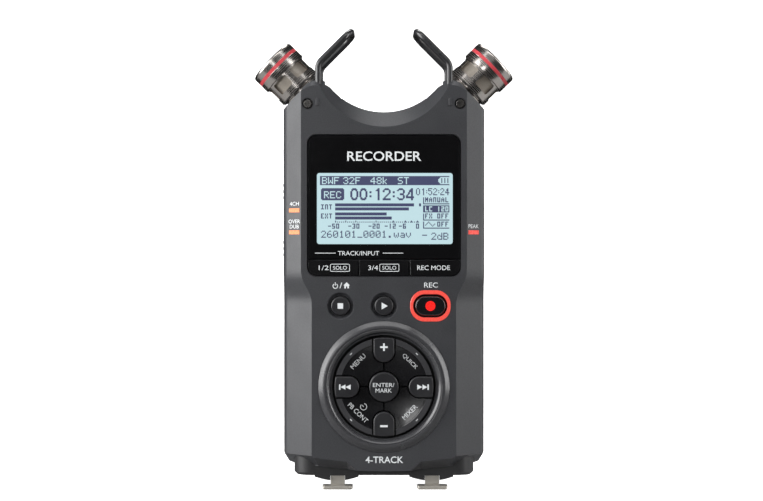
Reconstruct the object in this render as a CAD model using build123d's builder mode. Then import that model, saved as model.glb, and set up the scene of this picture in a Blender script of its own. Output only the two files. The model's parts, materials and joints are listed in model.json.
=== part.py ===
from build123d import *
from math import cos, radians, sin, sqrt
import os

# Portable field recorder. Millimetres, +X to the user's right, +Z towards the
# microphones, front face at -Y. z = 0 is the lowest point, the latch plates.

# Driving dimensions: body
body_width = 70.0
side_x = body_width / 2
front_y = -17.5
upper_back_y = 7.5
lower_back_y = 17.5
seam_y = -5.0
wall = 2.0
base_z = 8.5
cavity_top_z = 123.5
ramp_low_z = 88.5
ramp_high_z = 95.0
shoulder_z = 131.9

# Microphone heads and their pivots
pivot_x = 22.9
pivot_y = seam_y
pivot_z = 133.3
rest_tilt = 46.0
lobe = (22.4, 134.9)
lobe_r = 6.9
pocket_r = 8.6
barrel_r = 4.3
barrel_width = 8.2
pocket_width = 8.8
pin_r = 1.5
pin_length = 15.6
pin_clearance = 0.05
head_base = 8.85
head_r = 8.8
cage_r = 8.15
cage_wall = 1.0
cage_length = 7.45
head_end = 23.15
window_count = 6
window_turn = 4.65
swing_gap = 0.2
neck_r = 3.9
neck_disc_r = 7.05
neck_groove_r = 6.3
neck_disc = (7.65, 8.55)

# Scoop between the lobes
scoop_r = 24.6
scoop_z = 155.45
front_scoop_z = 150.1
front_lobe_x = 23.2
front_lobe_z = 132.4
front_lobe_r = 7.4

# Side chamfers: half widths of the front face above and below the display
upper_face_x = 28.6
lower_face_x = 24.9
step_low_z = 64.3
step_high_z = 76.0
chamfer_fillet = 4.4
back_fillet = 4.0
foot_arch_z = 6.7
bevel_lead = 0.5

# Display and soft keys
panel_half = 26.2
panel_low_z = 79.7
panel_high_z = 122.6
panel_gap = 0.35
panel_recess = 1.6
panel_thick = 1.2
panel_corner = 3.0
lcd_size = (49.0, 26.5)
lcd_z = 97.25
soft_low_z = 74.1
soft_high_z = 79.3
soft_split_x = 8.75
soft_gap = 0.4

# Keys
key_row_z = 63.7
stop_x = -15.0
record_x = 16.0
round_key_r = 3.25
dish_r = 4.7
key_gap = 0.3
key_proud = 0.5
key_back_y = -14.3
flange_front_y = -15.2
record_key_size = (10.4, 6.6)
record_ring_size = (13.9, 10.7)
record_ring_gap = 0.75
dial_z = 35.8
dial_r = 17.75
bezel_r = 22.7
enter_r = 5.1
arrow_width = 7.2
arrow_inner_r = 8.55
key_outer_r = 17.05

# Guard arms
arm_wire_r = 1.15
arm_front_y = -15.4
arm_rear_y = 5.4
arm_foot_z = 134.6
arm_knee = (22.7, 147.4)
arm_tip = (11.4, 158.7)

# End block with the combo jacks
jack_x = 16.4
jack_y = 1.2
jack_r = 10.4
jack_top_z = 30.0
block_half = 31.3
block_low_z = 4.8
block_corner_r = 6.0
block_chamfer = 1.0
block_top_z = 12.0

# Batteries
cell_r = 7.25
cell_length = 50.5
cell_pitch = 15.3
cell_y = 8.6
cell_low_z = 34.5
tray_half = 24.5
tray_low_z = 31.0
tray_high_z = 88.0
door_half = 23.7

# Shell openings and inner sizes
cavity_low_z = 10.5
block_front_y = -13.5
block_back_y = 15.5
screw_x = 28.2
screw_low_z = 36.0
screw_high_z = 120.6
screw_r = 1.1
screw_reach = 4.0
screw_head_r = 2.3
screw_sink = 1.8
boss_r = 3.2
tray_front_y = 0.2
door_front_y = 16.1
tripod_z = 103.0
tripod_boss_r = 5.9
tripod_r = 4.5
tripod_front_y = 0.5
tripod_thread_r = 2.6
speaker_z = 116.2
speaker_r = 7.0
grille_hole_r = 0.6
front_screw = (26.3, 133.4)
front_recess_r = 1.95
front_recess_depth = 1.2
front_thread_r = 0.8
front_thread_depth = 6.0
index_mark = (22.9, 134.0)
index_size = (1.2, 2.8)
index_proud = 0.3
light_x = 31.0
light_size = (5.2, 1.4)
light_places = ((-1, 96.7), (-1, 89.1), (1, 89.1))
dish_depth = 1.0
bezel_seat = 0.6
bezel_height = 1.15
bezel_inner_r = 18.4
bezel_line_r = 19.85
bezel_crest_r = 20.35
bezel_slope_r = 21.55
soft_stem = (8.0, 2.6)
soft_thick = 0.8
arrow_proud = 0.7
rim_proud = 0.2
dish_outer_r = 15.0
dish_step = 0.3
dish_sag = 1.7
dish_sphere_r = 78.0

# Side controls and sockets
control_y = -0.8
volume_z = 116.55
volume_size = (6.0, 4.9)
hold_z = 103.6
input_z = 83.5
knob_size = (3.0, 7.0)
slide_travel = 3.0
phones_z = 60.0
phones_barrel_r = 3.0
phones_bore_r = 1.8
remote_z = 48.0
remote_barrel_r = 2.4
remote_bore_r = 1.3
level_z = 73.0
level_size = (5.0, 14.0)
usb_z = 52.0
usb_size = (3.5, 9.2)
card_z = 103.6
card_door_low_y = -4.4
card_door_high_y = 1.3
card_door_length = 26.6
card_size = (32.0, 2.1, 24.0)
card_y = -1.5

# Jack details
jack_collar_r = 9.5
jack_insert_r = 7.9
jack_groove = 13.0
jack_pin_circle = 6.1
jack_pin_r = 1.4
phone_plug_r = 3.2
phone_bore_length = 22.0
lip_r = 22.0
lip_low_z = 3.05
lip_half = 7.65
lip_depth = 3.0
lip_lap = 3.2
latch_y = -12.2
latch_shift_x = 0.35
latch_plate = (10.4, 5.0, 1.4)
latch_corner_r = 0.8
latch_edge = 0.4
latch_stem = (4.9, 1.6, 7.6)
latch_stem_y = -11.4
latch_gap = 0.1

# Display stack
lcd_view = (46.8, 24.5)
lcd_view_x = 0.3
lcd_front_y = -16.2
lcd_thick = 2.6
board_y = -12.6
board_thick = 1.6
board_half = 24.3
board_low_z = 14.0
board_high_z = 122.0
chips = ((0, 75, 14, 14), (-12, 55, 9, 9), (10, 52, 10, 6), (0, 100, 18, 8))
mat_y = -13.6
mat_thick = 0.8
mat_high_z = 81.0

# Microphone details
cage_floor = 0.8
capsule_r = 7.1
capsule_sink = 0.9
band_low = 4.08
band_width = 1.24
band_depth = 0.5
window_rise = 1.84
window_size = (6.15, 4.32)
arm_bend_r = 4.0

# Screws and small parts
front_head_r = 1.5
front_head_thick = 0.9
rear_head_thick = 1.3
button_proud = 0.35
knob_base_proud = 0.15
knob_rib_proud = 0.5
rib_pitch = 2.2
rib_width = 1.0
rocker_thick = 2.8
rocker_pin_r = 0.7
rocker_pin_reach = 0.9
door_thick = 1.6
door_hinge_y = 0.5
card_outer_x = 32.9
usb_depth = 7.5
phones_depth = 10.0
remote_depth = 9.0
nub_height = 1.0
nub_r = 2.75
contact_thick = 0.4
speaker_thick = 3.0

os.makedirs("parts", exist_ok=True)

# Clearances and edge breaks used throughout
close_gap = 0.1
seat_gap = 0.15
opening_gap = 0.3
round_slack = 0.01
fine_edge = 0.2
key_edge = 0.5
knob_corner_r = 1.3
flange_thick = 0.7
flange_reach = 0.9
behind_wall = 0.3
quadrant_gap = 0.45
grille_rings = ((6, 2.4), (12, 4.8))
high_boss_length = 8.7
low_boss_length = 5.0
tray_wall = 1.3
tray_floor = 0.8
index_edge = 0.2
bezel_shoulder_r = 18.9
bezel_line_half = 0.1
bezel_line_depth = 0.35
ring_proud = 0.25
record_ring_corner_r = 4.9
front_head_edge = 0.3
front_cross = (1.7, 0.4)
front_cross_depth = 0.5
rear_cross = (2.8, 0.6)
rear_cross_depth = 0.8
grip_count = 4
grip_pitch = 1.6
grip_length = 16.0
grip_depth = 0.5
grip_drop = 9.0
speaker_rim = 0.9
contact_size = (11.0, 9.0)


def finish(builder, name):
    """Label a finished piece and write its STEP file."""
    builder.part.label = name
    export_step(builder.part, f"parts/{name}.step")


def facing_front(y, rise=0.0):
    """A plane across the body at depth y, its normal towards the user."""
    return Plane(origin=(0, y, rise), x_dir=(1, 0, 0), z_dir=(0, -1, 0))


def facing_side(side, x):
    """A plane on a side wall: local x runs to the back, local y up, normal outwards."""
    return Plane(origin=(x, 0, 0), x_dir=(0, side, 0), z_dir=(side, 0, 0))


def chamfer_n(face_x):
    """Distance of a 45 degree side chamfer from the body's middle line."""
    return (face_x - front_y) / sqrt(2)


def side_plane(side):
    """Plane square to a side chamfer's slope: local x outwards, local y up."""
    return Plane(origin=(0, 0, 0), x_dir=(side, -1, 0), z_dir=(-1, -side, 0))


def body_outline(plane, lobe_x, lobe_z, radius, arc_z):
    """Front view of the body on a plane."""
    half = side_x
    reach = (scoop_r - 0.3) / sqrt(lobe_x**2 + (arc_z - lobe_z) ** 2)
    tip = (lobe_x * reach, arc_z - (arc_z - lobe_z) * reach)
    with BuildSketch(plane) as outline:
        with BuildLine():
            Polyline((-half, shoulder_z), (-half, 12.5), (-33.2, 9.0), (-31.5, base_z), (-lower_face_x, base_z))
            ThreePointArc((-lower_face_x, base_z), (0, foot_arch_z), (lower_face_x, base_z))
            Polyline((lower_face_x, base_z), (31.5, base_z), (33.2, 9.0), (half, 12.5), (half, shoulder_z),
                     (28.9, 137.7), (26.5, 139.0), (lobe_x, lobe_z), tip, (-tip[0], tip[1]), (-lobe_x, lobe_z),
                     (-26.5, 139.0), (-28.9, 137.7), (-half, shoulder_z))
        make_face()
        with Locations((-lobe_x, lobe_z), (lobe_x, lobe_z)):
            Circle(radius)
        with Locations((0, arc_z)):
            Circle(scoop_r, mode=Mode.SUBTRACT)
    return outline.sketch


def side_cutter(side, inset):
    """What lies outside the side chamfer, with its ramp below the display."""
    low = chamfer_n(lower_face_x) - inset
    high = chamfer_n(upper_face_x) - inset
    with BuildPart() as cutter:
        with BuildSketch(side_plane(side)):
            with BuildLine():
                Polyline((high, step_high_z), (high, 170), (70, 170), (70, -10), (low, -10), (low, step_low_z))
                Spline((low, step_low_z), (high, step_high_z), tangents=((0, 1), (0, 1)))
            make_face()
        extrude(amount=60, both=True)
    return cutter.part


def top_bevel():
    """What the 45 degree bevel along the scoop and the lobes takes off."""
    with BuildPart() as cutter:
        with BuildSketch(facing_front(front_y - bevel_lead, -bevel_lead)):
            with Locations((0, 165)):
                Rectangle(90, 80)
            add(body_outline(Plane.XY, front_lobe_x, front_lobe_z, front_lobe_r, front_scoop_z),
                mode=Mode.SUBTRACT)
        extrude(amount=10 * sqrt(2), dir=(0, 1, 1))
    return cutter.part


def foot_bevel():
    """What the bevels along the front shell's lower edge take off."""
    corner = chamfer_n(lower_face_x)
    with BuildPart() as cutter:
        for side in (-1, 1):
            with BuildSketch(facing_front(front_y - bevel_lead, bevel_lead)):
                with BuildLine():
                    Polyline((side * 40, 12.6), (side * 24.9, 11.5), (side * 12.7, 10.0), (side * 9.7, 7.2),
                             (side * 9.7, -5), (side * 40, -5), (side * 40, 12.6))
                make_face()
            extrude(amount=6 * sqrt(2), dir=(0, 1, -1))
            with BuildSketch(side_plane(side)):
                with BuildLine():
                    Polyline((corner + 1.5, 13.5), (corner - 3.5, 8.5), (corner - 3.5, -5), (corner + 1.5, -5),
                             (corner + 1.5, 13.5))
                make_face()
            extrude(amount=60, both=True)
    return cutter.part


def side_profile(front, back_up, back_low, low, high):
    """The body seen from the side, with the ramp behind the display."""
    with BuildSketch(Plane.YZ) as profile:
        with BuildLine():
            Polyline((front, low), (front, high), (back_up, high), (back_up, ramp_high_z),
                     (back_low, ramp_low_z), (back_low, low), (front, low))
        make_face()
    return profile.sketch


def body_envelope():
    """The outside of the closed body as one solid."""
    with BuildPart() as body:
        outline = body_outline(facing_front(front_y), lobe[0], lobe[1], lobe_r, scoop_z)
        extrude(outline, amount=front_y - lower_back_y)
        extrude(side_profile(front_y, upper_back_y, lower_back_y, 0, 150), amount=side_x + 1,
                both=True, mode=Mode.INTERSECT)
        for side in (-1, 1):
            add(side_cutter(side, 0), mode=Mode.SUBTRACT)
        side_edges = body.edges().filter_by(lambda e: abs(abs(e.center().X) - side_x) < round_slack and e.length > 5)
        fillet(side_edges.filter_by(lambda e: e.center().Y < seam_y), radius=chamfer_fillet)
        back_edges = body.edges().filter_by(lambda e: abs(abs(e.center().X) - side_x) < round_slack)
        fillet(back_edges.filter_by(lambda e: e.center().Y > upper_back_y - 0.1 and e.length > 5),
               radius=back_fillet)
        add(top_bevel(), mode=Mode.SUBTRACT)
        add(foot_bevel(), mode=Mode.SUBTRACT)
    return body.part


def body_cavity():
    """The hollow that both shells close round."""
    with BuildPart() as hollow:
        with BuildSketch(facing_front(front_y + wall)):
            with Locations((0, (cavity_low_z + cavity_top_z) / 2)):
                Rectangle(body_width - 2 * wall, cavity_top_z - cavity_low_z)
        extrude(amount=front_y - lower_back_y)
        extrude(side_profile(front_y + wall, upper_back_y - wall, lower_back_y - wall, 0, 150),
                amount=side_x, both=True, mode=Mode.INTERSECT)
        for side in (-1, 1):
            add(side_cutter(side, wall), mode=Mode.SUBTRACT)
    return hollow.part


def block_space():
    """The opening in the foot of the shells that the end block fills."""
    with BuildPart() as space:
        with BuildSketch(Plane.XY):
            with Locations((0, (block_front_y + block_back_y) / 2)):
                Rectangle(2 * block_half + 2 * close_gap, block_back_y - block_front_y + 2 * close_gap)
            fillet(vertices().group_by(Axis.Y)[0], radius=block_corner_r)
        extrude(amount=block_top_z + close_gap)
    return space.part


def head_plane(side, height=0.0):
    """Plane square to a microphone's axis, height away from its pivot."""
    tilt = radians(rest_tilt)
    axis = (side * sin(tilt), 0, cos(tilt))
    origin = (side * (pivot_x + height * sin(tilt)), pivot_y, pivot_z + height * cos(tilt))
    return Plane(origin=origin, x_dir=(0, 1, 0), z_dir=axis)


def pivot_space():
    """Slots for the necks between the lobes' cheeks, and the pins' holes."""
    with BuildPart() as space:
        with BuildSketch(facing_front(pivot_y - pocket_width / 2)):
            with Locations((-pivot_x, pivot_z), (pivot_x, pivot_z)):
                Circle(pocket_r)
        extrude(amount=-pocket_width)
        with BuildSketch(facing_front(pivot_y - pin_length / 2)):
            with Locations((-pivot_x, pivot_z), (pivot_x, pivot_z)):
                Circle(pin_r)
        extrude(amount=-pin_length)
    return space.part


def swing_space():
    """What the necks' discs sweep through between their two end positions."""
    lean = radians(rest_tilt)
    keep_r = neck_disc[0] - swing_gap
    reach = sqrt(neck_disc[1] ** 2 + neck_disc_r**2) + swing_gap
    with BuildPart() as space:
        with Locations((-pivot_x, pivot_y, pivot_z), (pivot_x, pivot_y, pivot_z)):
            Sphere(reach)
        for middle in (-pivot_x, pivot_x):
            right = (middle + keep_r * sin(lean), pivot_z + keep_r * cos(lean))
            left = (middle - keep_r * sin(lean), pivot_z + keep_r * cos(lean))
            low_right = (right[0] + 20 * cos(lean), right[1] - 20 * sin(lean))
            low_left = (left[0] - 20 * cos(lean), left[1] - 20 * sin(lean))
            with BuildSketch(facing_front(pivot_y)):
                with BuildLine():
                    ThreePointArc(left, (middle, pivot_z + keep_r), right)
                    Polyline(right, low_right, low_left, left)
                make_face()
            extrude(amount=20, both=True, mode=Mode.SUBTRACT)
    return space.part


def arm_holes():
    """Blind holes for the feet of the guard arms."""
    with BuildPart() as holes:
        with BuildSketch(Plane.XY.offset(arm_foot_z)):
            with Locations((-arm_knee[0], arm_front_y), (arm_knee[0], arm_front_y),
                           (-arm_knee[0], arm_rear_y), (arm_knee[0], arm_rear_y)):
                Circle(arm_wire_r)
        extrude(amount=12)
    return holes.part


def screw_places(z_places):
    """The same height on both sides, for the screws between the shells."""
    return [(side * screw_x, z) for z in z_places for side in (-1, 1)]


def light_plane(side, z):
    """Plane on a side chamfer at a status light."""
    x = side * light_x
    y = light_x - upper_face_x + front_y
    return Plane(origin=(x, y, z), x_dir=(1, side, 0), z_dir=(side, -1, 0))


def panel_shape(grow):
    """Outline of the display window with the soft key row, grown all round."""
    low = soft_low_z - grow
    high = panel_high_z + grow
    with BuildSketch(facing_front(front_y)) as shape:
        with Locations((0, (low + high) / 2)):
            RectangleRounded(2 * (panel_half + grow), high - low, panel_corner + grow)
    return shape.sketch


def soft_key_edges(index):
    """Left and right edge of a soft key, counted from the left."""
    splits = (-panel_half - soft_gap / 2, -soft_split_x, soft_split_x, panel_half + soft_gap / 2)
    return splits[index] + soft_gap / 2, splits[index + 1] - soft_gap / 2


def arrow_shape(grow):
    """Outline of the four arrow keys of the dial, round inner ends."""
    middle = arrow_inner_r + arrow_width / 2
    with BuildSketch(Plane.XY) as shape:
        for angle in range(0, 360, 90):
            with PolarLocations(middle, 1, angle):
                Circle(arrow_width / 2 + grow)
            with PolarLocations(middle + 5, 1, angle):
                Rectangle(10, arrow_width + 2 * grow)
        Circle(key_outer_r, mode=Mode.INTERSECT)
    return shape.sketch


def quadrant_shape():
    """Outline of the four quadrant keys between the arrows."""
    with BuildSketch(Plane.XY) as shape:
        Circle(key_outer_r)
        Circle(enter_r + quadrant_gap, mode=Mode.SUBTRACT)
        add(arrow_shape(quadrant_gap), mode=Mode.SUBTRACT)
        Rectangle(2 * dial_r, quadrant_gap, mode=Mode.SUBTRACT)
        Rectangle(quadrant_gap, 2 * dial_r, mode=Mode.SUBTRACT)
    return shape.sketch


dial_centre = Plane(origin=(0, front_y, dial_z), x_dir=(1, 0, 0), z_dir=(0, -1, 0))
envelope = body_envelope()
cavity = body_cavity()
foot_opening = block_space()
pivot_slots = pivot_space()
swing_pockets = swing_space()
arm_feet_holes = arm_holes()

# Front shell
with BuildPart() as front_shell:
    add(envelope)
    split(bisect_by=facing_front(seam_y), keep=Keep.TOP)
    add(cavity, mode=Mode.SUBTRACT)
    with BuildSketch(facing_front(seam_y)):
        with Locations(*screw_places([screw_high_z])):
            Circle(boss_r)
    extrude(amount=high_boss_length)
    with BuildSketch(facing_front(seam_y)):
        with Locations(*screw_places([screw_low_z])):
            Circle(boss_r)
    extrude(amount=low_boss_length)
    with BuildSketch(facing_front(seam_y)):
        with Locations(*screw_places([screw_low_z, screw_high_z])):
            Circle(screw_r)
    extrude(amount=screw_reach, mode=Mode.SUBTRACT)
    add(foot_opening, mode=Mode.SUBTRACT)
    add(pivot_slots, mode=Mode.SUBTRACT)
    add(swing_pockets, mode=Mode.SUBTRACT)
    add(arm_feet_holes, mode=Mode.SUBTRACT)
    extrude(panel_shape(panel_gap), amount=-panel_recess, mode=Mode.SUBTRACT)
    with BuildSketch(facing_front(front_y)):
        with Locations((0, lcd_z)):
            Rectangle(lcd_size[0] + 2 * opening_gap, lcd_size[1] + 2 * opening_gap)
        for index in range(3):
            left, right = soft_key_edges(index)
            with Locations(((left + right) / 2, (soft_low_z + soft_high_z) / 2)):
                Rectangle(soft_stem[0] + 2 * opening_gap, soft_stem[1] + 2 * opening_gap)
        with Locations((stop_x, key_row_z), (0, key_row_z)):
            Circle(round_key_r + key_gap)
        with Locations((record_x, key_row_z)):
            RectangleRounded(record_ring_size[0] + close_gap, record_ring_size[1] + close_gap, record_ring_corner_r)
        with Locations((0, dial_z)):
            Circle(dial_r + seat_gap)
    extrude(amount=-2 * wall, mode=Mode.SUBTRACT)
    with BuildSketch(facing_front(front_y)):
        with Locations((stop_x, key_row_z), (0, key_row_z)):
            Circle(dish_r)
    extrude(amount=-dish_depth, taper=45, mode=Mode.SUBTRACT)
    with BuildSketch(facing_front(front_y)):
        with Locations((0, dial_z)):
            Circle(bezel_r + 0.05)
    extrude(amount=-bezel_seat, mode=Mode.SUBTRACT)
    with BuildSketch(facing_front(front_y)):
        with Locations((-front_screw[0], front_screw[1]), front_screw):
            Circle(front_recess_r)
    extrude(amount=-front_recess_depth, mode=Mode.SUBTRACT)
    with BuildSketch(facing_front(front_y)):
        with Locations((-front_screw[0], front_screw[1]), front_screw):
            Circle(front_thread_r)
    extrude(amount=-front_thread_depth, mode=Mode.SUBTRACT)
    for side, z in light_places:
        with BuildSketch(light_plane(side, z)):
            Rectangle(light_size[0] + close_gap, light_size[1] + close_gap)
        extrude(amount=-2 * wall, mode=Mode.SUBTRACT)
    with BuildSketch(facing_front(front_y)):
        with Locations((-index_mark[0], index_mark[1]), index_mark):
            SlotOverall(index_size[1], index_size[0], rotation=90)
    extrude(amount=index_proud)
    fillet(front_shell.edges().group_by(Axis.Y)[0], radius=index_edge)
finish(front_shell, "front_shell")

# Rear shell
with BuildPart() as rear_shell:
    add(envelope)
    split(bisect_by=facing_front(seam_y), keep=Keep.BOTTOM)
    add(cavity, mode=Mode.SUBTRACT)
    with BuildSketch(facing_front(tray_front_y)):
        with Locations((0, (tray_low_z + tray_high_z) / 2)):
            Rectangle(2 * tray_half, tray_high_z - tray_low_z)
    extrude(amount=tray_front_y - lower_back_y + wall)
    with BuildSketch(facing_front(tray_front_y + tray_floor)):
        with Locations((0, (tray_low_z + tray_high_z) / 2)):
            Rectangle(2 * (tray_half - tray_wall), tray_high_z - tray_low_z - 2 * tray_wall)
    extrude(amount=-20, mode=Mode.SUBTRACT)
    with BuildSketch(facing_front(door_front_y - close_gap)):
        with Locations((0, (tray_low_z + tray_high_z) / 2)):
            Rectangle(2 * door_half + 2 * opening_gap, tray_high_z - tray_low_z - 1.4)
    extrude(amount=-5, mode=Mode.SUBTRACT)
    with BuildSketch(facing_front(seam_y)):
        with Locations(*screw_places([screw_low_z])):
            Circle(boss_r)
    extrude(amount=seam_y - lower_back_y + wall)
    with BuildSketch(facing_front(seam_y)):
        with Locations(*screw_places([screw_high_z])):
            Circle(boss_r)
        with Locations((0, tripod_z)):
            Circle(tripod_boss_r)
    extrude(amount=seam_y - upper_back_y + wall)
    with BuildSketch(facing_front(seam_y)):
        with Locations((0, tripod_z)):
            Circle(tripod_boss_r)
    extrude(amount=seam_y - tripod_front_y, mode=Mode.SUBTRACT)
    with BuildSketch(facing_front(tripod_front_y)):
        with Locations((0, tripod_z)):
            Circle(tripod_r)
    extrude(amount=-10, mode=Mode.SUBTRACT)
    with BuildSketch(facing_front(seam_y)):
        with Locations(*screw_places([screw_low_z, screw_high_z])):
            Circle(screw_r)
    extrude(amount=-30, mode=Mode.SUBTRACT)
    for z, back in ((screw_low_z, lower_back_y), (screw_high_z, upper_back_y)):
        with BuildSketch(facing_front(back)):
            with Locations(*screw_places([z])):
                Circle(screw_head_r + seat_gap)
        extrude(amount=screw_sink, mode=Mode.SUBTRACT)
    add(foot_opening, mode=Mode.SUBTRACT)
    add(pivot_slots, mode=Mode.SUBTRACT)
    add(swing_pockets, mode=Mode.SUBTRACT)
    add(arm_feet_holes, mode=Mode.SUBTRACT)
    with BuildSketch(facing_front(upper_back_y)):
        with Locations((0, speaker_z)):
            Circle(grille_hole_r)
        for count, radius in grille_rings:
            with Locations((0, speaker_z)):
                with PolarLocations(radius, count):
                    Circle(grille_hole_r)
    extrude(amount=wall + 0.5, mode=Mode.SUBTRACT)
    with BuildSketch(facing_side(-1, -side_x)):
        with Locations((-control_y, volume_z)):
            RectangleRounded(volume_size[0] + 2 * opening_gap, volume_size[1] + 2 * opening_gap, knob_corner_r)
        with Locations((-control_y, hold_z - slide_travel / 2), (-control_y, input_z - slide_travel / 2)):
            Rectangle(knob_size[0] + 0.4, knob_size[1] + slide_travel + 0.4)
        with Locations((-control_y, phones_z)):
            Circle(phones_barrel_r)
        with Locations((-control_y, remote_z)):
            Circle(remote_barrel_r)
    extrude(amount=-2 * wall, mode=Mode.SUBTRACT)
    with BuildSketch(facing_side(1, side_x)):
        with Locations((control_y, level_z)):
            RectangleRounded(level_size[0] + 2 * opening_gap, level_size[1] + 2 * opening_gap, knob_corner_r)
        with Locations((control_y, usb_z)):
            RectangleRounded(usb_size[0], usb_size[1], usb_size[0] / 2 - round_slack)
        with Locations(((card_door_low_y + card_door_high_y) / 2, card_z)):
            Rectangle(card_door_high_y - card_door_low_y + 2 * opening_gap, card_door_length + 2 * opening_gap)
    extrude(amount=-2 * wall, mode=Mode.SUBTRACT)
finish(rear_shell, "rear_shell")

# End block: carries the combo jacks and guides their release latches
with BuildPart() as end_block:
    with BuildSketch(Plane.XY.offset(block_low_z)):
        with Locations((0, (block_front_y + block_back_y) / 2)):
            Rectangle(2 * block_half, block_back_y - block_front_y)
        fillet(vertices().group_by(Axis.Y)[0], radius=block_corner_r)
    extrude(amount=block_top_z - block_low_z)
    chamfer(end_block.edges().group_by(Axis.Z)[0], length=block_chamfer)
    for side in (-1, 1):
        with BuildSketch(facing_front(block_front_y)):
            with Locations((side * jack_x, lip_low_z + lip_r)):
                Circle(lip_r)
            with Locations((side * jack_x, lip_low_z + lip_lap / 2)):
                Rectangle(2 * lip_half, lip_lap, mode=Mode.INTERSECT)
        extrude(amount=-lip_depth)
    with BuildSketch(Plane.XY):
        with Locations((-jack_x, jack_y), (jack_x, jack_y)):
            Circle(jack_r)
        with Locations((latch_shift_x - jack_x, latch_stem_y), (latch_shift_x + jack_x, latch_stem_y)):
            Rectangle(latch_stem[0] + 2 * latch_gap, latch_stem[1] + 2 * latch_gap)
    extrude(amount=block_top_z, mode=Mode.SUBTRACT)
    with BuildSketch(Plane.XY):
        with Locations((latch_shift_x - jack_x, block_front_y), (latch_shift_x + jack_x, block_front_y)):
            Rectangle(latch_stem[0] + 2 * latch_gap, 2 * lip_depth)
    extrude(amount=block_low_z, mode=Mode.SUBTRACT)
finish(end_block, "end_block")

# Combo jacks and the latches that release their plugs
for side, name in ((-1, "left"), (1, "right")):
    with BuildPart() as combo_jack:
        with BuildSketch(Plane.XY.offset(block_low_z + close_gap)):
            with Locations((side * jack_x, jack_y)):
                Circle(jack_r)
        extrude(amount=jack_top_z - block_low_z)
        with BuildSketch(Plane.XY.offset(block_low_z)):
            with Locations((side * jack_x, jack_y)):
                Circle(jack_collar_r)
        extrude(amount=1.4, mode=Mode.SUBTRACT)
        with BuildSketch(Plane.XY.offset(block_low_z)):
            with Locations((side * jack_x, jack_y)):
                Circle(jack_collar_r)
                Circle(jack_insert_r, mode=Mode.SUBTRACT)
        extrude(amount=jack_groove, mode=Mode.SUBTRACT)
        with BuildSketch(Plane.XY.offset(block_low_z)):
            with Locations((side * jack_x, jack_y)):
                Circle(phone_plug_r)
        extrude(amount=phone_bore_length + 1.4, mode=Mode.SUBTRACT)
        with BuildSketch(Plane.XY.offset(block_low_z)):
            with Locations((side * jack_x, jack_y)):
                with PolarLocations(jack_pin_circle, 3, 90):
                    Circle(jack_pin_r)
        extrude(amount=jack_groove, mode=Mode.SUBTRACT)
    finish(combo_jack, f"combo_jack_{name}")
    with BuildPart() as jack_latch:
        with BuildSketch(Plane.XY):
            with Locations((latch_shift_x + side * jack_x, latch_y)):
                RectangleRounded(latch_plate[0], latch_plate[1], latch_corner_r)
        extrude(amount=latch_plate[2])
        chamfer(jack_latch.edges().group_by(Axis.Z)[0], length=latch_edge)
        with BuildSketch(Plane.XY.offset(latch_plate[2])):
            with Locations((latch_shift_x + side * jack_x, latch_stem_y)):
                Rectangle(latch_stem[0], latch_stem[1])
        extrude(amount=latch_stem[2])
    finish(jack_latch, f"jack_latch_{name}")

# Display window, LCD, circuit board and key mat
with BuildPart() as display_window:
    extrude(panel_shape(0), amount=-panel_thick)
    with BuildSketch(facing_front(front_y)):
        with Locations((0, soft_low_z)):
            Rectangle(60, 2 * (panel_low_z - soft_low_z))
    extrude(amount=-panel_thick, mode=Mode.SUBTRACT)
    with BuildSketch(facing_front(front_y)):
        with Locations((lcd_view_x, lcd_z)):
            RectangleRounded(lcd_view[0], lcd_view[1], 0.9)
    extrude(amount=-panel_thick, mode=Mode.SUBTRACT)
    chamfer(display_window.faces().sort_by(Axis.Y)[0].outer_wire().edges(), length=0.35)
finish(display_window, "display_window")

with BuildPart() as lcd_panel:
    with BuildSketch(facing_front(lcd_front_y)):
        with Locations((0, lcd_z)):
            Rectangle(*lcd_size)
    extrude(amount=-lcd_thick)
    with BuildSketch(facing_front(lcd_front_y)):
        with Locations((lcd_view_x, lcd_z)):
            RectangleRounded(lcd_view[0] - close_gap, lcd_view[1] - close_gap, 0.85)
    extrude(amount=lcd_front_y - front_y - close_gap)
finish(lcd_panel, "lcd_panel")

with BuildPart() as main_board:
    with BuildSketch(facing_front(board_y)):
        with Locations((0, (board_low_z + board_high_z) / 2)):
            Rectangle(2 * board_half, board_high_z - board_low_z)
    extrude(amount=-board_thick)
    for x, z, width, height in chips:
        with BuildSketch(facing_front(board_y + board_thick)):
            with Locations((x, z)):
                Rectangle(width, height)
        extrude(amount=-1.2)
finish(main_board, "main_board")

with BuildPart() as key_mat:
    with BuildSketch(facing_front(mat_y)):
        with Locations((0, (board_low_z + mat_high_z) / 2)):
            RectangleRounded(2 * board_half - 2, mat_high_z - board_low_z - 2, 2)
    extrude(amount=-mat_thick)
finish(key_mat, "key_mat")

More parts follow.
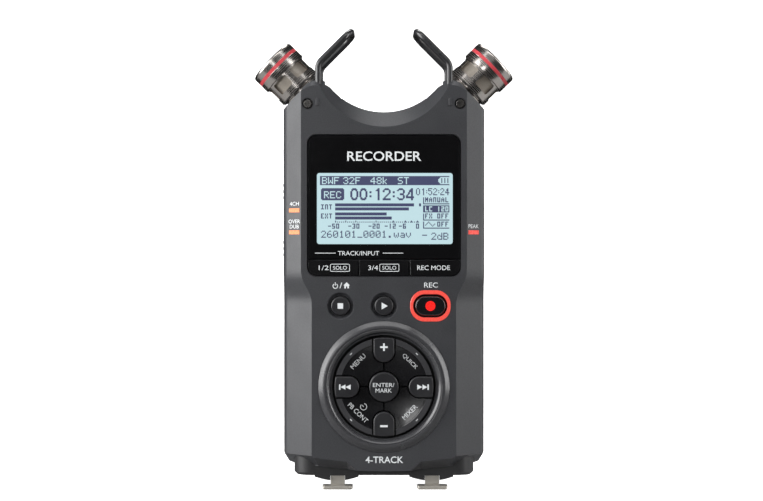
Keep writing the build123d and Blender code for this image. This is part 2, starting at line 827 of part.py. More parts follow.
# Dial bezel: a rounded ridge round the keys
crest_y = front_y - bezel_height
bezel_middle_y = front_y - bezel_height / 2
with BuildPart() as dial_ring:
    with BuildSketch(Plane(origin=(0, 0, dial_z), x_dir=(1, 0, 0), z_dir=(0, 0, 1))):
        with BuildLine():
            Polyline((bezel_r, front_y), (bezel_r, front_y + bezel_seat), (dial_r, front_y + bezel_seat),
                     (dial_r, front_y + bezel_seat / 2), (bezel_inner_r, front_y + close_gap))
            ThreePointArc((bezel_inner_r, front_y + close_gap), (bezel_shoulder_r, bezel_middle_y),
                          (bezel_line_r - bezel_line_half, crest_y + close_gap))
            Polyline((bezel_line_r - bezel_line_half, crest_y + close_gap),
                     (bezel_line_r - bezel_line_half, crest_y + bezel_line_depth),
                     (bezel_line_r + bezel_line_half, crest_y + bezel_line_depth),
                     (bezel_line_r + bezel_line_half, crest_y + close_gap / 2))
            Spline((bezel_line_r + bezel_line_half, crest_y + close_gap / 2), (bezel_crest_r, crest_y),
                   (bezel_slope_r, bezel_middle_y), (bezel_r, front_y), tangents=((1, -0.2), (1, 0)))
        make_face()
    revolve(axis=Axis((0, 0, dial_z), (0, 1, 0)))
finish(dial_ring, "dial_ring")

# Ring light round the record key
with BuildPart() as record_light_ring:
    with BuildSketch(facing_front(front_y - ring_proud)):
        with Locations((record_x, key_row_z)):
            RectangleRounded(*record_ring_size, record_ring_corner_r)
            RectangleRounded(record_key_size[0] + 2 * record_ring_gap, record_key_size[1] + 2 * record_ring_gap,
                             record_key_size[1] / 2 + record_ring_gap - round_slack, mode=Mode.SUBTRACT)
    extrude(amount=-wall - ring_proud)
    chamfer(record_light_ring.edges().group_by(Axis.Y)[0], length=fine_edge)
finish(record_light_ring, "record_light_ring")

# Stop, play and record keys
for x, name in ((stop_x, "stop_key"), (0, "play_key")):
    with BuildPart() as round_key:
        with BuildSketch(facing_front(front_y - key_proud)):
            with Locations((x, key_row_z)):
                Circle(round_key_r)
        extrude(amount=front_y - key_proud - key_back_y)
        fillet(round_key.edges().group_by(Axis.Y)[0], radius=key_edge)
        with BuildSketch(facing_front(flange_front_y)):
            with Locations((x, key_row_z)):
                Circle(round_key_r + flange_reach)
        extrude(amount=flange_front_y - key_back_y)
    finish(round_key, name)

with BuildPart() as record_key:
    with BuildSketch(facing_front(front_y - key_proud)):
        with Locations((record_x, key_row_z)):
            RectangleRounded(*record_key_size, record_key_size[1] / 2 - round_slack)
    extrude(amount=front_y - key_proud - key_back_y)
    fillet(record_key.edges().group_by(Axis.Y)[0], radius=key_edge)
    with BuildSketch(facing_front(flange_front_y)):
        with Locations((record_x, key_row_z)):
            RectangleRounded(record_key_size[0] + 2 * flange_reach, record_key_size[1] + 2 * flange_reach,
                             record_key_size[1] / 2 + flange_reach - close_gap)
    extrude(amount=flange_front_y - key_back_y)
finish(record_key, "record_key")

# Soft keys under the display
for index, name in enumerate(("soft_key_left", "soft_key_middle", "soft_key_right")):
    left, right = soft_key_edges(index)
    with BuildPart() as soft_key:
        extrude(panel_shape(0), amount=-soft_thick)
        with BuildSketch(facing_front(front_y)):
            with Locations(((left + right) / 2, (soft_low_z + soft_high_z) / 2)):
                Rectangle(right - left, soft_high_z - soft_low_z)
        extrude(amount=-soft_thick, mode=Mode.INTERSECT)
        chamfer(soft_key.edges().group_by(Axis.Y)[0], length=fine_edge)
        with BuildSketch(facing_front(front_y + soft_thick)):
            with Locations(((left + right) / 2, (soft_low_z + soft_high_z) / 2)):
                Rectangle(*soft_stem)
        extrude(amount=front_y + soft_thick - key_back_y)
    finish(soft_key, name)

# Dial keys: four arrows, the enter key and four concave quadrants
arrow_names = (("next_key", 0), ("plus_key", 90), ("previous_key", 180), ("minus_key", 270))
for name, angle in arrow_names:
    with BuildPart() as arrow_key:
        with BuildSketch(dial_centre.offset(arrow_proud)):
            add(arrow_shape(0))
            with PolarLocations(dial_r, 1, angle):
                Rectangle(2 * (dial_r - enter_r), arrow_width + 1, mode=Mode.INTERSECT)
        extrude(amount=front_y - arrow_proud - key_back_y)
        fillet(arrow_key.edges().group_by(Axis.Y)[0], radius=0.45)
    finish(arrow_key, name)

with BuildPart() as enter_key:
    with BuildSketch(dial_centre.offset(arrow_proud)):
        Circle(enter_r)
    extrude(amount=front_y - arrow_proud - key_back_y)
    fillet(enter_key.edges().group_by(Axis.Y)[0], radius=key_edge)
finish(enter_key, "enter_key")

quadrants = (("quick_key", 1, 1), ("menu_key", -1, 1), ("playback_key", -1, -1), ("mixer_key", 1, -1))
for name, right, up in quadrants:
    with BuildPart() as quadrant_key:
        with BuildSketch(dial_centre.offset(rim_proud)):
            add(quadrant_shape())
            with Locations((right * dial_r, up * dial_r)):
                Rectangle(2 * dial_r, 2 * dial_r, mode=Mode.INTERSECT)
        extrude(amount=front_y - rim_proud - key_back_y)
        chamfer(quadrant_key.edges().group_by(Axis.Y)[0], length=fine_edge)
        with BuildSketch(dial_centre.offset(rim_proud)):
            Circle(dish_outer_r)
        extrude(amount=-dish_step, taper=30, mode=Mode.SUBTRACT)
        with Locations((0, front_y - rim_proud + dish_sag - dish_sphere_r, dial_z)):
            Sphere(dish_sphere_r, mode=Mode.SUBTRACT)
    finish(quadrant_key, name)

# Microphone heads, closed towards each other when turned inwards
cage_base = head_base + cage_floor
cage_top = head_base + cage_length
for side, name in ((-1, "left"), (1, "right")):
    head_axis = Axis((0, 0, 0), head_plane(side).z_dir)
    with BuildPart() as mic_cap:
        with BuildSketch(head_plane(side, cage_top)):
            Circle(head_r)
        extrude(amount=head_end - cage_top)
        rims = mic_cap.edges().filter_by(GeomType.CIRCLE).sort_by(head_axis)
        fillet(rims[-1], radius=1.0)
        chamfer(rims[0], length=0.25)
        with BuildSketch(head_plane(side, cage_top)):
            Circle(capsule_r + seat_gap)
        extrude(amount=head_end - cage_top, mode=Mode.SUBTRACT)
        with BuildSketch(head_plane(side, head_end - band_low)):
            Circle(head_r)
            Circle(head_r - band_depth, mode=Mode.SUBTRACT)
        extrude(amount=band_width, mode=Mode.SUBTRACT)
    finish(mic_cap, f"mic_cap_{name}")
    with BuildPart() as mic_band:
        with BuildSketch(head_plane(side, head_end - band_low)):
            Circle(head_r - 0.06)
            Circle(head_r - band_depth, mode=Mode.SUBTRACT)
        extrude(amount=band_width)
    finish(mic_band, f"mic_band_{name}")
    with BuildPart() as mic_cage:
        with BuildSketch(head_plane(side, head_base)):
            Circle(cage_r)
        extrude(amount=cage_length)
        chamfer(mic_cage.edges().sort_by(head_axis)[0], length=0.5)
        with BuildSketch(head_plane(side, cage_base)):
            Circle(cage_r - cage_wall)
        extrude(amount=cage_length, mode=Mode.SUBTRACT)
        for index in range(window_count):
            angle = radians((index + 0.5) * 360 / window_count - side * window_turn)
            rising = head_plane(side, cage_base + window_rise)
            outward = rising.x_dir * cos(angle) + rising.y_dir * sin(angle)
            window = Plane(origin=rising.origin, x_dir=rising.z_dir.cross(outward), z_dir=outward)
            with BuildSketch(window.offset(cage_r - 2 * cage_wall)):
                with Locations((0, window_size[1] / 2)):
                    RectangleRounded(*window_size, 0.7)
            extrude(amount=3 * cage_wall, mode=Mode.SUBTRACT)
    finish(mic_cage, f"mic_cage_{name}")
    with BuildPart() as mic_capsule:
        with BuildSketch(head_plane(side, cage_base)):
            Circle(capsule_r)
        extrude(amount=head_end - cage_base - capsule_sink)
    finish(mic_capsule, f"mic_capsule_{name}")
    with BuildPart() as mic_neck:
        with BuildSketch(head_plane(side)):
            Circle(neck_r)
        extrude(amount=neck_disc[1])
        with BuildSketch(head_plane(side, neck_disc[0])):
            Circle(neck_disc_r)
        extrude(amount=neck_disc[1] - neck_disc[0])
        chamfer(mic_neck.edges().filter_by(GeomType.CIRCLE).sort_by(head_axis)[-1], length=0.25)
        with BuildSketch(head_plane(side, neck_disc[1])):
            Circle(neck_groove_r)
        extrude(amount=head_base - neck_disc[1])
        with BuildSketch(facing_front(pivot_y - barrel_width / 2)):
            with Locations((side * pivot_x, pivot_z)):
                Circle(barrel_r)
        extrude(amount=-barrel_width)
        with BuildSketch(facing_front(pivot_y - barrel_width / 2)):
            with Locations((side * pivot_x, pivot_z)):
                Circle(pin_r + pin_clearance)
        extrude(amount=-barrel_width, mode=Mode.SUBTRACT)
    finish(mic_neck, f"mic_neck_{name}")

with BuildPart() as pivot_pins:
    with BuildSketch(facing_front(pivot_y - pin_length / 2)):
        with Locations((-pivot_x, pivot_z), (pivot_x, pivot_z)):
            Circle(pin_r)
    extrude(amount=-pin_length)
finish(pivot_pins, "pivot_pins")

# Guard arms: a wire loop over each microphone, both feet in the shells
for side, name in ((-1, "left"), (1, "right")):
    knee_x, knee_z = side * arm_knee[0], arm_knee[1]
    tip_x, tip_z = side * arm_tip[0], arm_tip[1]
    with BuildPart() as guard_arm:
        with BuildLine() as arm_path:
            FilletPolyline((knee_x, arm_front_y, arm_foot_z), (knee_x, arm_front_y, knee_z),
                           (tip_x, arm_front_y, tip_z), (tip_x, arm_rear_y, tip_z),
                           (knee_x, arm_rear_y, knee_z), (knee_x, arm_rear_y, arm_foot_z),
                           radius=arm_bend_r)
        with BuildSketch(Plane.XY.offset(arm_foot_z)):
            with Locations((knee_x, arm_front_y)):
                Circle(arm_wire_r)
        sweep(path=arm_path.wire())
    finish(guard_arm, f"guard_arm_{name}")

# Screws: two at the front, four through the rear shell
with BuildPart() as front_screws:
    with BuildSketch(facing_front(front_y + front_recess_depth - front_head_thick)):
        with Locations((-front_screw[0], front_screw[1]), front_screw):
            Circle(front_head_r)
    extrude(amount=-front_head_thick)
    fillet(front_screws.edges().group_by(Axis.Y)[0], radius=front_head_edge)
    with BuildSketch(facing_front(front_y + front_recess_depth - front_head_thick)):
        with Locations((-front_screw[0], front_screw[1]), front_screw):
            Rectangle(*front_cross)
            Rectangle(*front_cross[::-1])
    extrude(amount=-front_cross_depth, mode=Mode.SUBTRACT)
    with BuildSketch(facing_front(front_y + front_recess_depth)):
        with Locations((-front_screw[0], front_screw[1]), front_screw):
            Circle(front_thread_r)
    extrude(amount=-(front_thread_depth - front_recess_depth))
finish(front_screws, "front_screws")

with BuildPart() as rear_screws:
    for z, back in ((screw_low_z, lower_back_y), (screw_high_z, upper_back_y)):
        head_back_y = back - screw_sink + rear_head_thick
        with BuildSketch(facing_front(head_back_y)):
            with Locations(*screw_places([z])):
                Circle(screw_head_r)
        extrude(amount=rear_head_thick)
        with BuildSketch(facing_front(head_back_y)):
            with Locations(*screw_places([z])):
                Rectangle(*rear_cross)
                Rectangle(*rear_cross[::-1])
        extrude(amount=rear_cross_depth, mode=Mode.SUBTRACT)
        with BuildSketch(facing_front(back - screw_sink)):
            with Locations(*screw_places([z])):
                Circle(screw_r)
        extrude(amount=back - screw_sink - seam_y + screw_reach)
finish(rear_screws, "rear_screws")

# Status lights in the side chamfers
for side, name in ((-1, "left_lights"), (1, "peak_light")):
    with BuildPart() as lights:
        for light_side, z in light_places:
            if light_side == side:
                with BuildSketch(light_plane(side, z).offset(close_gap)):
                    Rectangle(*light_size)
                extrude(amount=-wall)
    finish(lights, name)

# Left side: volume button, hold switch and input switch
with BuildPart() as volume_button:
    with BuildSketch(facing_side(-1, -side_x - button_proud)):
        with Locations((-control_y, volume_z)):
            RectangleRounded(*volume_size, knob_corner_r - opening_gap)
    extrude(amount=-(wall + button_proud + behind_wall))
    fillet(volume_button.edges().group_by(Axis.X)[0], radius=0.3)
    with BuildSketch(facing_side(-1, -side_x + wall + behind_wall)):
        with Locations((-control_y, volume_z)):
            Rectangle(volume_size[0] + 1.2, volume_size[1] + 1.2)
    extrude(amount=-flange_thick)
finish(volume_button, "volume_button")

for z, name in ((hold_z, "hold_switch"), (input_z, "input_switch")):
    with BuildPart() as slide_switch:
        with BuildSketch(facing_side(-1, -side_x - knob_base_proud)):
            with Locations((-control_y, z)):
                Rectangle(*knob_size)
        extrude(amount=-(wall + knob_base_proud + behind_wall))
        with BuildSketch(facing_side(-1, -side_x - knob_rib_proud)):
            for rib in (-1, 0, 1):
                with Locations((-control_y, z + rib * rib_pitch)):
                    Rectangle(knob_size[0], rib_width)
        extrude(amount=-(knob_rib_proud - knob_base_proud))
        with BuildSketch(facing_side(-1, -side_x + wall + behind_wall)):
            with Locations((-control_y, z)):
                Rectangle(knob_size[0] + 2.0, knob_size[1] + 2 * slide_travel + 2 * opening_gap)
        extrude(amount=-flange_thick)
    finish(slide_switch, name)

# Right side: input level rocker, memory card, its socket and door
with BuildPart() as level_rocker:
    with BuildSketch(facing_side(1, side_x)):
        with Locations((control_y, level_z)):
            RectangleRounded(*level_size, knob_corner_r - opening_gap)
    extrude(amount=-rocker_thick)
    chamfer(level_rocker.edges().group_by(Axis.X)[-1], length=0.25)
    with BuildSketch(facing_front(control_y - level_size[0] / 2 - rocker_pin_reach)):
        with Locations((side_x - rocker_thick, level_z)):
            Circle(rocker_pin_r)
    extrude(amount=-level_size[0] - 2 * rocker_pin_reach)
finish(level_rocker, "level_rocker")

with BuildPart() as card_door:
    with BuildSketch(Plane.XY.offset(card_z - card_door_length / 2)):
        with BuildLine():
            Polyline((side_x - door_thick, card_door_low_y), (side_x, card_door_low_y),
                     (side_x, door_hinge_y), (side_x - door_thick, door_hinge_y),
                     (side_x - door_thick, card_door_low_y))
        make_face()
        with Locations((side_x - door_thick / 2, door_hinge_y)):
            Circle(door_thick / 2)
    extrude(amount=card_door_length)
finish(card_door, "card_door")

with BuildPart() as memory_card:
    with BuildSketch(facing_front(card_y - card_size[1] / 2)):
        with Locations((card_outer_x - card_size[0] / 2, card_z)):
            Rectangle(card_size[0], card_size[2])
        chamfer(vertices().group_by(Axis.X)[0].sort_by(Axis.Z)[-1], length=3)
    extrude(amount=-card_size[1])
finish(memory_card, "memory_card")

with BuildPart() as card_socket:
    with BuildSketch(facing_front(card_y - card_size[1] / 2 - 0.5)):
        with Locations((card_outer_x - card_size[0] / 2 - 2, card_z)):
            Rectangle(card_size[0], card_size[2] + 2)
    extrude(amount=-(card_size[1] + 1.0))
    with BuildSketch(facing_front(card_y - card_size[1] / 2 - 0.15)):
        with Locations((card_outer_x - card_size[0] / 2 + 4, card_z)):
            Rectangle(card_size[0] + 10, card_size[2] + 0.3)
    extrude(amount=-(card_size[1] + 0.3), mode=Mode.SUBTRACT)
finish(card_socket, "card_socket")

# Sockets for leads
with BuildPart() as usb_socket:
    with BuildSketch(facing_side(1, side_x - 0.3)):
        with Locations((control_y, usb_z)):
            RectangleRounded(usb_size[0] - 0.05, usb_size[1] - 0.05, usb_size[0] / 2 - 0.04)
    extrude(amount=-usb_depth)
    with BuildSketch(facing_side(1, side_x)):
        with Locations((control_y, usb_z)):
            RectangleRounded(usb_size[0] - 0.9, usb_size[1] - 0.9, usb_size[0] / 2 - 0.46)
            Rectangle(0.7, usb_size[1] - 2.6, mode=Mode.SUBTRACT)
    extrude(amount=-usb_depth + 1, mode=Mode.SUBTRACT)
finish(usb_socket, "usb_socket")

for z, barrel, bore, depth, name in ((phones_z, phones_barrel_r, phones_bore_r, phones_depth, "phones_jack"),
                                     (remote_z, remote_barrel_r, remote_bore_r, remote_depth, "remote_jack")):
    with BuildPart() as round_jack:
        with BuildSketch(facing_side(-1, -side_x + close_gap)):
            with Locations((-control_y, z)):
                Circle(barrel)
                Circle(bore, mode=Mode.SUBTRACT)
        extrude(amount=-depth)
    finish(round_jack, name)

# Batteries, their contacts and door
cell_x = (-cell_pitch, 0, cell_pitch)
with BuildPart() as batteries:
    with BuildSketch(Plane.XY.offset(cell_low_z)):
        with Locations(*[(x, cell_y) for x in cell_x]):
            Circle(cell_r)
    extrude(amount=cell_length - nub_height)
    for index, x in enumerate(cell_x):
        nub_z = cell_low_z - nub_height if index % 2 else cell_low_z + cell_length - nub_height
        with BuildSketch(Plane.XY.offset(nub_z)):
            with Locations((x, cell_y)):
                Circle(nub_r)
        extrude(amount=nub_height)
finish(batteries, "batteries")

with BuildPart() as battery_contacts:
    for low in (tray_low_z + tray_wall, tray_high_z - tray_wall - contact_thick):
        with BuildSketch(Plane.XY.offset(low)):
            with Locations(*[(x, cell_y) for x in cell_x]):
                Rectangle(*contact_size)
        extrude(amount=contact_thick)
finish(battery_contacts, "battery_contacts")

with BuildPart() as battery_door:
    with BuildSketch(facing_front(door_front_y)):
        with Locations((0, (tray_low_z + tray_high_z) / 2)):
            RectangleRounded(2 * door_half, tray_high_z - tray_low_z - 2.0, 0.6)
    extrude(amount=door_front_y - lower_back_y)
    chamfer(battery_door.edges().group_by(Axis.Y)[-1], length=0.25)
    with BuildSketch(facing_front(lower_back_y)):
        with Locations((0, tray_high_z - grip_drop)):
            for step in range(grip_count):
                with Locations((0, -step * grip_pitch)):
                    Rectangle(grip_length, grip_pitch / 2)
    extrude(amount=grip_depth, mode=Mode.SUBTRACT)
finish(battery_door, "battery_door")

# Speaker behind its grille, and the tripod thread
with BuildPart() as speaker:
    with BuildSketch(facing_front(upper_back_y - wall - 0.3)):
        with Locations((0, speaker_z)):
            Circle(speaker_r)
    extrude(amount=speaker_thick)
    with BuildSketch(facing_front(upper_back_y - wall - 0.3)):
        with Locations((0, speaker_z)):
            Circle(speaker_r - speaker_rim)
    extrude(amount=speaker_rim, mode=Mode.SUBTRACT)
finish(speaker, "speaker")

with BuildPart() as tripod_insert:
    with BuildSketch(facing_front(upper_back_y)):
        with Locations((0, tripod_z)):
            Circle(tripod_r)
            Circle(tripod_thread_r, mode=Mode.SUBTRACT)
    extrude(amount=upper_back_y - tripod_front_y)
    with BuildSketch(facing_front(tripod_front_y)):
        with Locations((0, tripod_z)):
            Circle(tripod_r)
    extrude(amount=-0.5)
finish(tripod_insert, "tripod_insert")
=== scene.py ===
import json
from math import asin, cos, pi, radians, sin, sqrt

import bmesh
import bpy
from mathutils import Matrix, Vector


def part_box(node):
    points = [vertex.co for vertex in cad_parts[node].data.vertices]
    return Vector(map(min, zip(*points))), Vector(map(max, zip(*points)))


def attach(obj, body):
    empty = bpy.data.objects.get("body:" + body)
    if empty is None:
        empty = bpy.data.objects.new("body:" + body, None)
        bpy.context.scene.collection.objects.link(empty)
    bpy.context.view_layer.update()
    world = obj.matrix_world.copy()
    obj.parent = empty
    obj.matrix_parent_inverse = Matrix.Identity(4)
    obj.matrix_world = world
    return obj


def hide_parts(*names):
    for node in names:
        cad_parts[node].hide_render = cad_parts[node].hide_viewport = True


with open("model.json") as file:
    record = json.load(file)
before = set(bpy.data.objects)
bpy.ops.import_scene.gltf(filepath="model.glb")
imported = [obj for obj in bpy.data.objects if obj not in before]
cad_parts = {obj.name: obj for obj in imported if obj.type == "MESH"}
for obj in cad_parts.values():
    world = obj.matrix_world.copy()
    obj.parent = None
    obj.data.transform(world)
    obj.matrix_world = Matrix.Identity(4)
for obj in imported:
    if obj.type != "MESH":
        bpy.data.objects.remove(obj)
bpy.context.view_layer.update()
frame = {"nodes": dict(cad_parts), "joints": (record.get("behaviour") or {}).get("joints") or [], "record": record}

MM = 0.001
nodes = frame["nodes"]
joints = {joint["name"]: joint for joint in frame["joints"]}


def middle(node):
    """Centre of a CAD node's box."""
    low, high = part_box(node)
    return (low + high) / 2


# ---------------------------------------------------------------- materials

def new_material(name):
    """A node material with its shader, its node tree and object coordinates."""
    material = bpy.data.materials.new(name)
    material.use_nodes = True
    tree = material.node_tree
    shader = tree.nodes["Principled BSDF"]
    place = tree.nodes.new("ShaderNodeTexCoord").outputs["Object"]
    return material, tree, shader, place


def noise(tree, place, scale, detail=3.0, roughness=0.5):
    """Noise in object space; scale is in cells per metre."""
    node = tree.nodes.new("ShaderNodeTexNoise")
    node.inputs["Scale"].default_value = scale
    node.inputs["Detail"].default_value = detail
    node.inputs["Roughness"].default_value = roughness
    tree.links.new(place, node.inputs["Vector"])
    return node.outputs["Fac"]


def ramp(tree, value, low, high, start=0.3, end=0.7):
    """Maps a value between start and end to a number between low and high."""
    node = tree.nodes.new("ShaderNodeMapRange")
    node.inputs["From Min"].default_value = start
    node.inputs["From Max"].default_value = end
    node.inputs["To Min"].default_value = low
    node.inputs["To Max"].default_value = high
    tree.links.new(value, node.inputs["Value"])
    return node.outputs["Result"]


def tint(tree, value, dark, light, start=0.3, end=0.7):
    """Colour between dark and light by a value."""
    node = tree.nodes.new("ShaderNodeValToRGB")
    node.color_ramp.elements[0].position = start
    node.color_ramp.elements[0].color = (*dark, 1)
    node.color_ramp.elements[1].position = end
    node.color_ramp.elements[1].color = (*light, 1)
    tree.links.new(value, node.inputs["Fac"])
    return node.outputs["Color"]


def bump(tree, shader, height, strength, distance):
    """Surface relief from a height value, distance in metres."""
    node = tree.nodes.new("ShaderNodeBump")
    node.inputs["Strength"].default_value = strength
    node.inputs["Distance"].default_value = distance
    tree.links.new(height, node.inputs["Height"])
    tree.links.new(node.outputs["Normal"], shader.inputs["Normal"])
    return node


def scaled(colour, factor):
    return tuple(min(1.0, channel * factor) for channel in colour)


def moulded(name, colour, rough, grain=2600, relief=0.012, mottle=0.12, spread=0.05, coat=0.0, metal=0.0,
            glow=None, glow_strength=0.0):
    """Moulded plastic, rubber or paint: fine grain, faint mottling and uneven gloss; relief is in mm."""
    material, tree, shader, place = new_material(name)
    fine = noise(tree, place, grain, 2.0)
    broad = noise(tree, place, 140, 4.0)
    tree.links.new(tint(tree, fine, scaled(colour, 1 - mottle), scaled(colour, 1 + mottle)),
                   shader.inputs["Base Color"])
    tree.links.new(ramp(tree, broad, rough - spread, rough + spread), shader.inputs["Roughness"])
    shader.inputs["Metallic"].default_value = metal
    shader.inputs["Coat Weight"].default_value = coat
    shader.inputs["Coat Roughness"].default_value = 0.04
    if glow:
        shader.inputs["Emission Color"].default_value = (*glow, 1)
        shader.inputs["Emission Strength"].default_value = glow_strength
    bump(tree, shader, fine, 0.5, relief * MM)
    return material


def turned(name, colour, rough, axis, relief=0.004, ring_scale=5200, spread=0.05, metal=1.0):
    """Metal turned on a lathe: fine rings square to the axis; relief is in mm."""
    material, tree, shader, place = new_material(name)
    along = tree.nodes.new("ShaderNodeVectorMath")
    along.operation = "DOT_PRODUCT"
    along.inputs[1].default_value = axis
    tree.links.new(place, along.inputs[0])
    rings = tree.nodes.new("ShaderNodeTexNoise")
    rings.noise_dimensions = "1D"
    rings.inputs["Scale"].default_value = ring_scale
    rings.inputs["Detail"].default_value = 2.0
    tree.links.new(along.outputs["Value"], rings.inputs["W"])
    broad = noise(tree, place, 260, 3.0)
    tree.links.new(tint(tree, broad, scaled(colour, 0.92), scaled(colour, 1.05)),
                   shader.inputs["Base Color"])
    tree.links.new(ramp(tree, rings.outputs["Fac"], rough - spread, rough + spread),
                   shader.inputs["Roughness"])
    shader.inputs["Metallic"].default_value = metal
    bump(tree, shader, rings.outputs["Fac"], 0.35, relief * MM)
    return material


# Waves per metre that a wave texture makes for each unit of its scale
WAVES_PER_SCALE = 3.2


def woven(name, colour, rough, pitch, relief):
    """Fine metal mesh: two sets of crossing threads; pitch and relief are in mm."""
    material, tree, shader, place = new_material(name)
    heights = []
    for direction in ("X", "Z"):
        wave = tree.nodes.new("ShaderNodeTexWave")
        wave.bands_direction = direction
        wave.inputs["Scale"].default_value = 1 / (pitch * MM) / WAVES_PER_SCALE
        tree.links.new(place, wave.inputs["Vector"])
        heights.append(wave.outputs["Fac"])
    join = tree.nodes.new("ShaderNodeMath")
    join.operation = "MULTIPLY"
    tree.links.new(heights[0], join.inputs[0])
    tree.links.new(heights[1], join.inputs[1])
    tree.links.new(tint(tree, join.outputs["Value"], scaled(colour, 0.75), scaled(colour, 1.2), 0.0, 0.9),
                   shader.inputs["Base Color"])
    tree.links.new(ramp(tree, noise(tree, place, 300), rough - 0.05, rough + 0.05),
                   shader.inputs["Roughness"])
    bump(tree, shader, join.outputs["Value"], 0.5, relief * MM)
    return material


def lens(name, colour, glow, strength):
    """A lit, slightly cloudy lens."""
    material, tree, shader, place = new_material(name)
    cloud = noise(tree, place, 420, 3.0)
    tree.links.new(tint(tree, cloud, scaled(colour, 0.92), scaled(colour, 1.08)), shader.inputs["Base Color"])
    tree.links.new(ramp(tree, noise(tree, place, 1500), 0.22, 0.36), shader.inputs["Roughness"])
    shader.inputs["Emission Color"].default_value = (*glow, 1)
    shader.inputs["Emission Strength"].default_value = strength
    return material


def circuit(name):
    """Green solder mask with faint traces."""
    material, tree, shader, place = new_material(name)
    trace = tree.nodes.new("ShaderNodeTexBrick")
    trace.inputs["Scale"].default_value = 260
    trace.inputs["Color1"].default_value = (0.012, 0.11, 0.045, 1)
    trace.inputs["Color2"].default_value = (0.015, 0.13, 0.055, 1)
    trace.inputs["Mortar"].default_value = (0.03, 0.2, 0.09, 1)
    tree.links.new(place, trace.inputs["Vector"])
    tree.links.new(trace.outputs["Color"], shader.inputs["Base Color"])
    tree.links.new(ramp(tree, noise(tree, place, 800), 0.3, 0.42), shader.inputs["Roughness"])
    bump(tree, shader, trace.outputs["Fac"], 0.3, 0.01 * MM)
    return material


CHARCOAL = (0.034, 0.035, 0.039)
GUNMETAL = (0.47, 0.44, 0.415)
MIC_TILT = radians(46)
left_axis = Vector((-sin(MIC_TILT), 0, cos(MIC_TILT)))
right_axis = Vector((-left_axis.x, 0, left_axis.z))

materials = {
    "shell_plastic": moulded("shell_plastic", CHARCOAL, 0.43, grain=2400, relief=0.02, mottle=0.16),
    "end_plastic": moulded("end_plastic", (0.010, 0.010, 0.011), 0.46),
    "window_gloss": moulded("window_gloss", (0.0035, 0.0035, 0.004), 0.09, grain=500, relief=0.001,
                            spread=0.03, coat=0.6),
    "lcd_glass": moulded("lcd_glass", (0.08, 0.10, 0.11), 0.22, grain=900, relief=0.001, mottle=0.03,
                         glow=(0.47, 0.65, 0.69), glow_strength=1.0),
    "circuit_green": circuit("circuit_green"),
    "mat_rubber": moulded("mat_rubber", (0.008, 0.008, 0.008), 0.7),
    "bezel_plastic": moulded("bezel_plastic", (0.050, 0.050, 0.054), 0.3, grain=3000, relief=0.008),
    "key_plastic": moulded("key_plastic", (0.014, 0.014, 0.016), 0.34, grain=3200, relief=0.008),
    "soft_key_plastic": moulded("soft_key_plastic", (0.005, 0.005, 0.0055), 0.16, grain=700, relief=0.001,
                                coat=0.4),
    "dish_plastic": moulded("dish_plastic", (0.007, 0.007, 0.008), 0.2, grain=900, relief=0.002, coat=0.3),
    "red_light": lens("red_light", (0.25, 0.02, 0.012), (0.72, 0.075, 0.06), 1.0),
    "orange_light": lens("orange_light", (0.25, 0.07, 0.02), (0.86, 0.23, 0.035), 1.0),
    "dark_chrome": turned("dark_chrome", GUNMETAL, 0.24, left_axis, relief=0.002),
    "band_red": moulded("band_red", (0.60, 0.06, 0.075), 0.3, grain=3000, relief=0.004, coat=0.3),
    "capsule_mesh": woven("capsule_mesh", (0.42, 0.38, 0.33), 0.45, 0.35, 0.03),
    "arm_black": moulded("arm_black", (0.020, 0.020, 0.022), 0.3, grain=2800, relief=0.008, coat=0.15),
    "steel": turned("steel", (0.56, 0.56, 0.57), 0.26, Vector((0, 1, 0))),
    "black_steel": moulded("black_steel", (0.12, 0.115, 0.11), 0.26, metal=0.9),
    "nickel": turned("nickel", (0.48, 0.455, 0.41), 0.36, Vector((0, 0, 1)), metal=0.7),
    "jack_plastic": moulded("jack_plastic", (0.010, 0.010, 0.010), 0.4),
    "brass": turned("brass", (0.72, 0.52, 0.22), 0.24, Vector((0, 1, 0))),
    "cell_wrap": moulded("cell_wrap", (0.02, 0.02, 0.03), 0.25, coat=0.3),
    "card_plastic": moulded("card_plastic", (0.02, 0.025, 0.05), 0.4),
    "switch_plastic": moulded("switch_plastic", (0.014, 0.014, 0.015), 0.4),
}
slot_of = {part["node"]: part["material_slot"] for part in frame["record"]["subparts"]}
right_chrome = turned("dark_chrome_right", GUNMETAL, 0.24, right_axis, relief=0.002)

for name, node in nodes.items():
    chosen = materials[slot_of[name]]
    if slot_of[name] == "dark_chrome" and name.endswith("right"):
        chosen = right_chrome
    node.data.materials.clear()
    node.data.materials.append(chosen)

label_white = moulded("label_white", (0.78, 0.81, 0.82), 0.5, grain=1500, mottle=0.04)
label_grey = moulded("label_grey", (0.60, 0.62, 0.63), 0.5, grain=1500, mottle=0.04)
lcd_ink = moulded("lcd_ink", (0.01, 0.01, 0.02), 0.4, grain=1500, mottle=0.05, glow=(0.045, 0.053, 0.12),
                   glow_strength=1.0)
record_red = lens("record_red", (0.3, 0.01, 0.008), (0.9, 0.01, 0.008), 1.0)


# ---------------------------------------------------------------- small tools for pieces

def add_piece(name, mesh, material, body):
    """Links a mesh as a piece that rides on a body."""
    piece = bpy.data.objects.new(name, mesh)
    bpy.context.scene.collection.objects.link(piece)
    mesh.materials.clear()
    mesh.materials.append(material)
    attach(piece, body)
    return piece


# How thick a print is, in mm; half of it stands above the face
PRINT_THICK = 0.012


def facing(origin, out, up=(0, 0, 1)):
    """Frame of a surface: local x to the reader's right, y up, z out of the surface."""
    out = Vector(out).normalized()
    up = Vector(up)
    up = (up - out * up.dot(out)).normalized()
    right = up.cross(out)
    turn = Matrix((right, up, out)).transposed().to_4x4()
    return Matrix.Translation(origin) @ turn


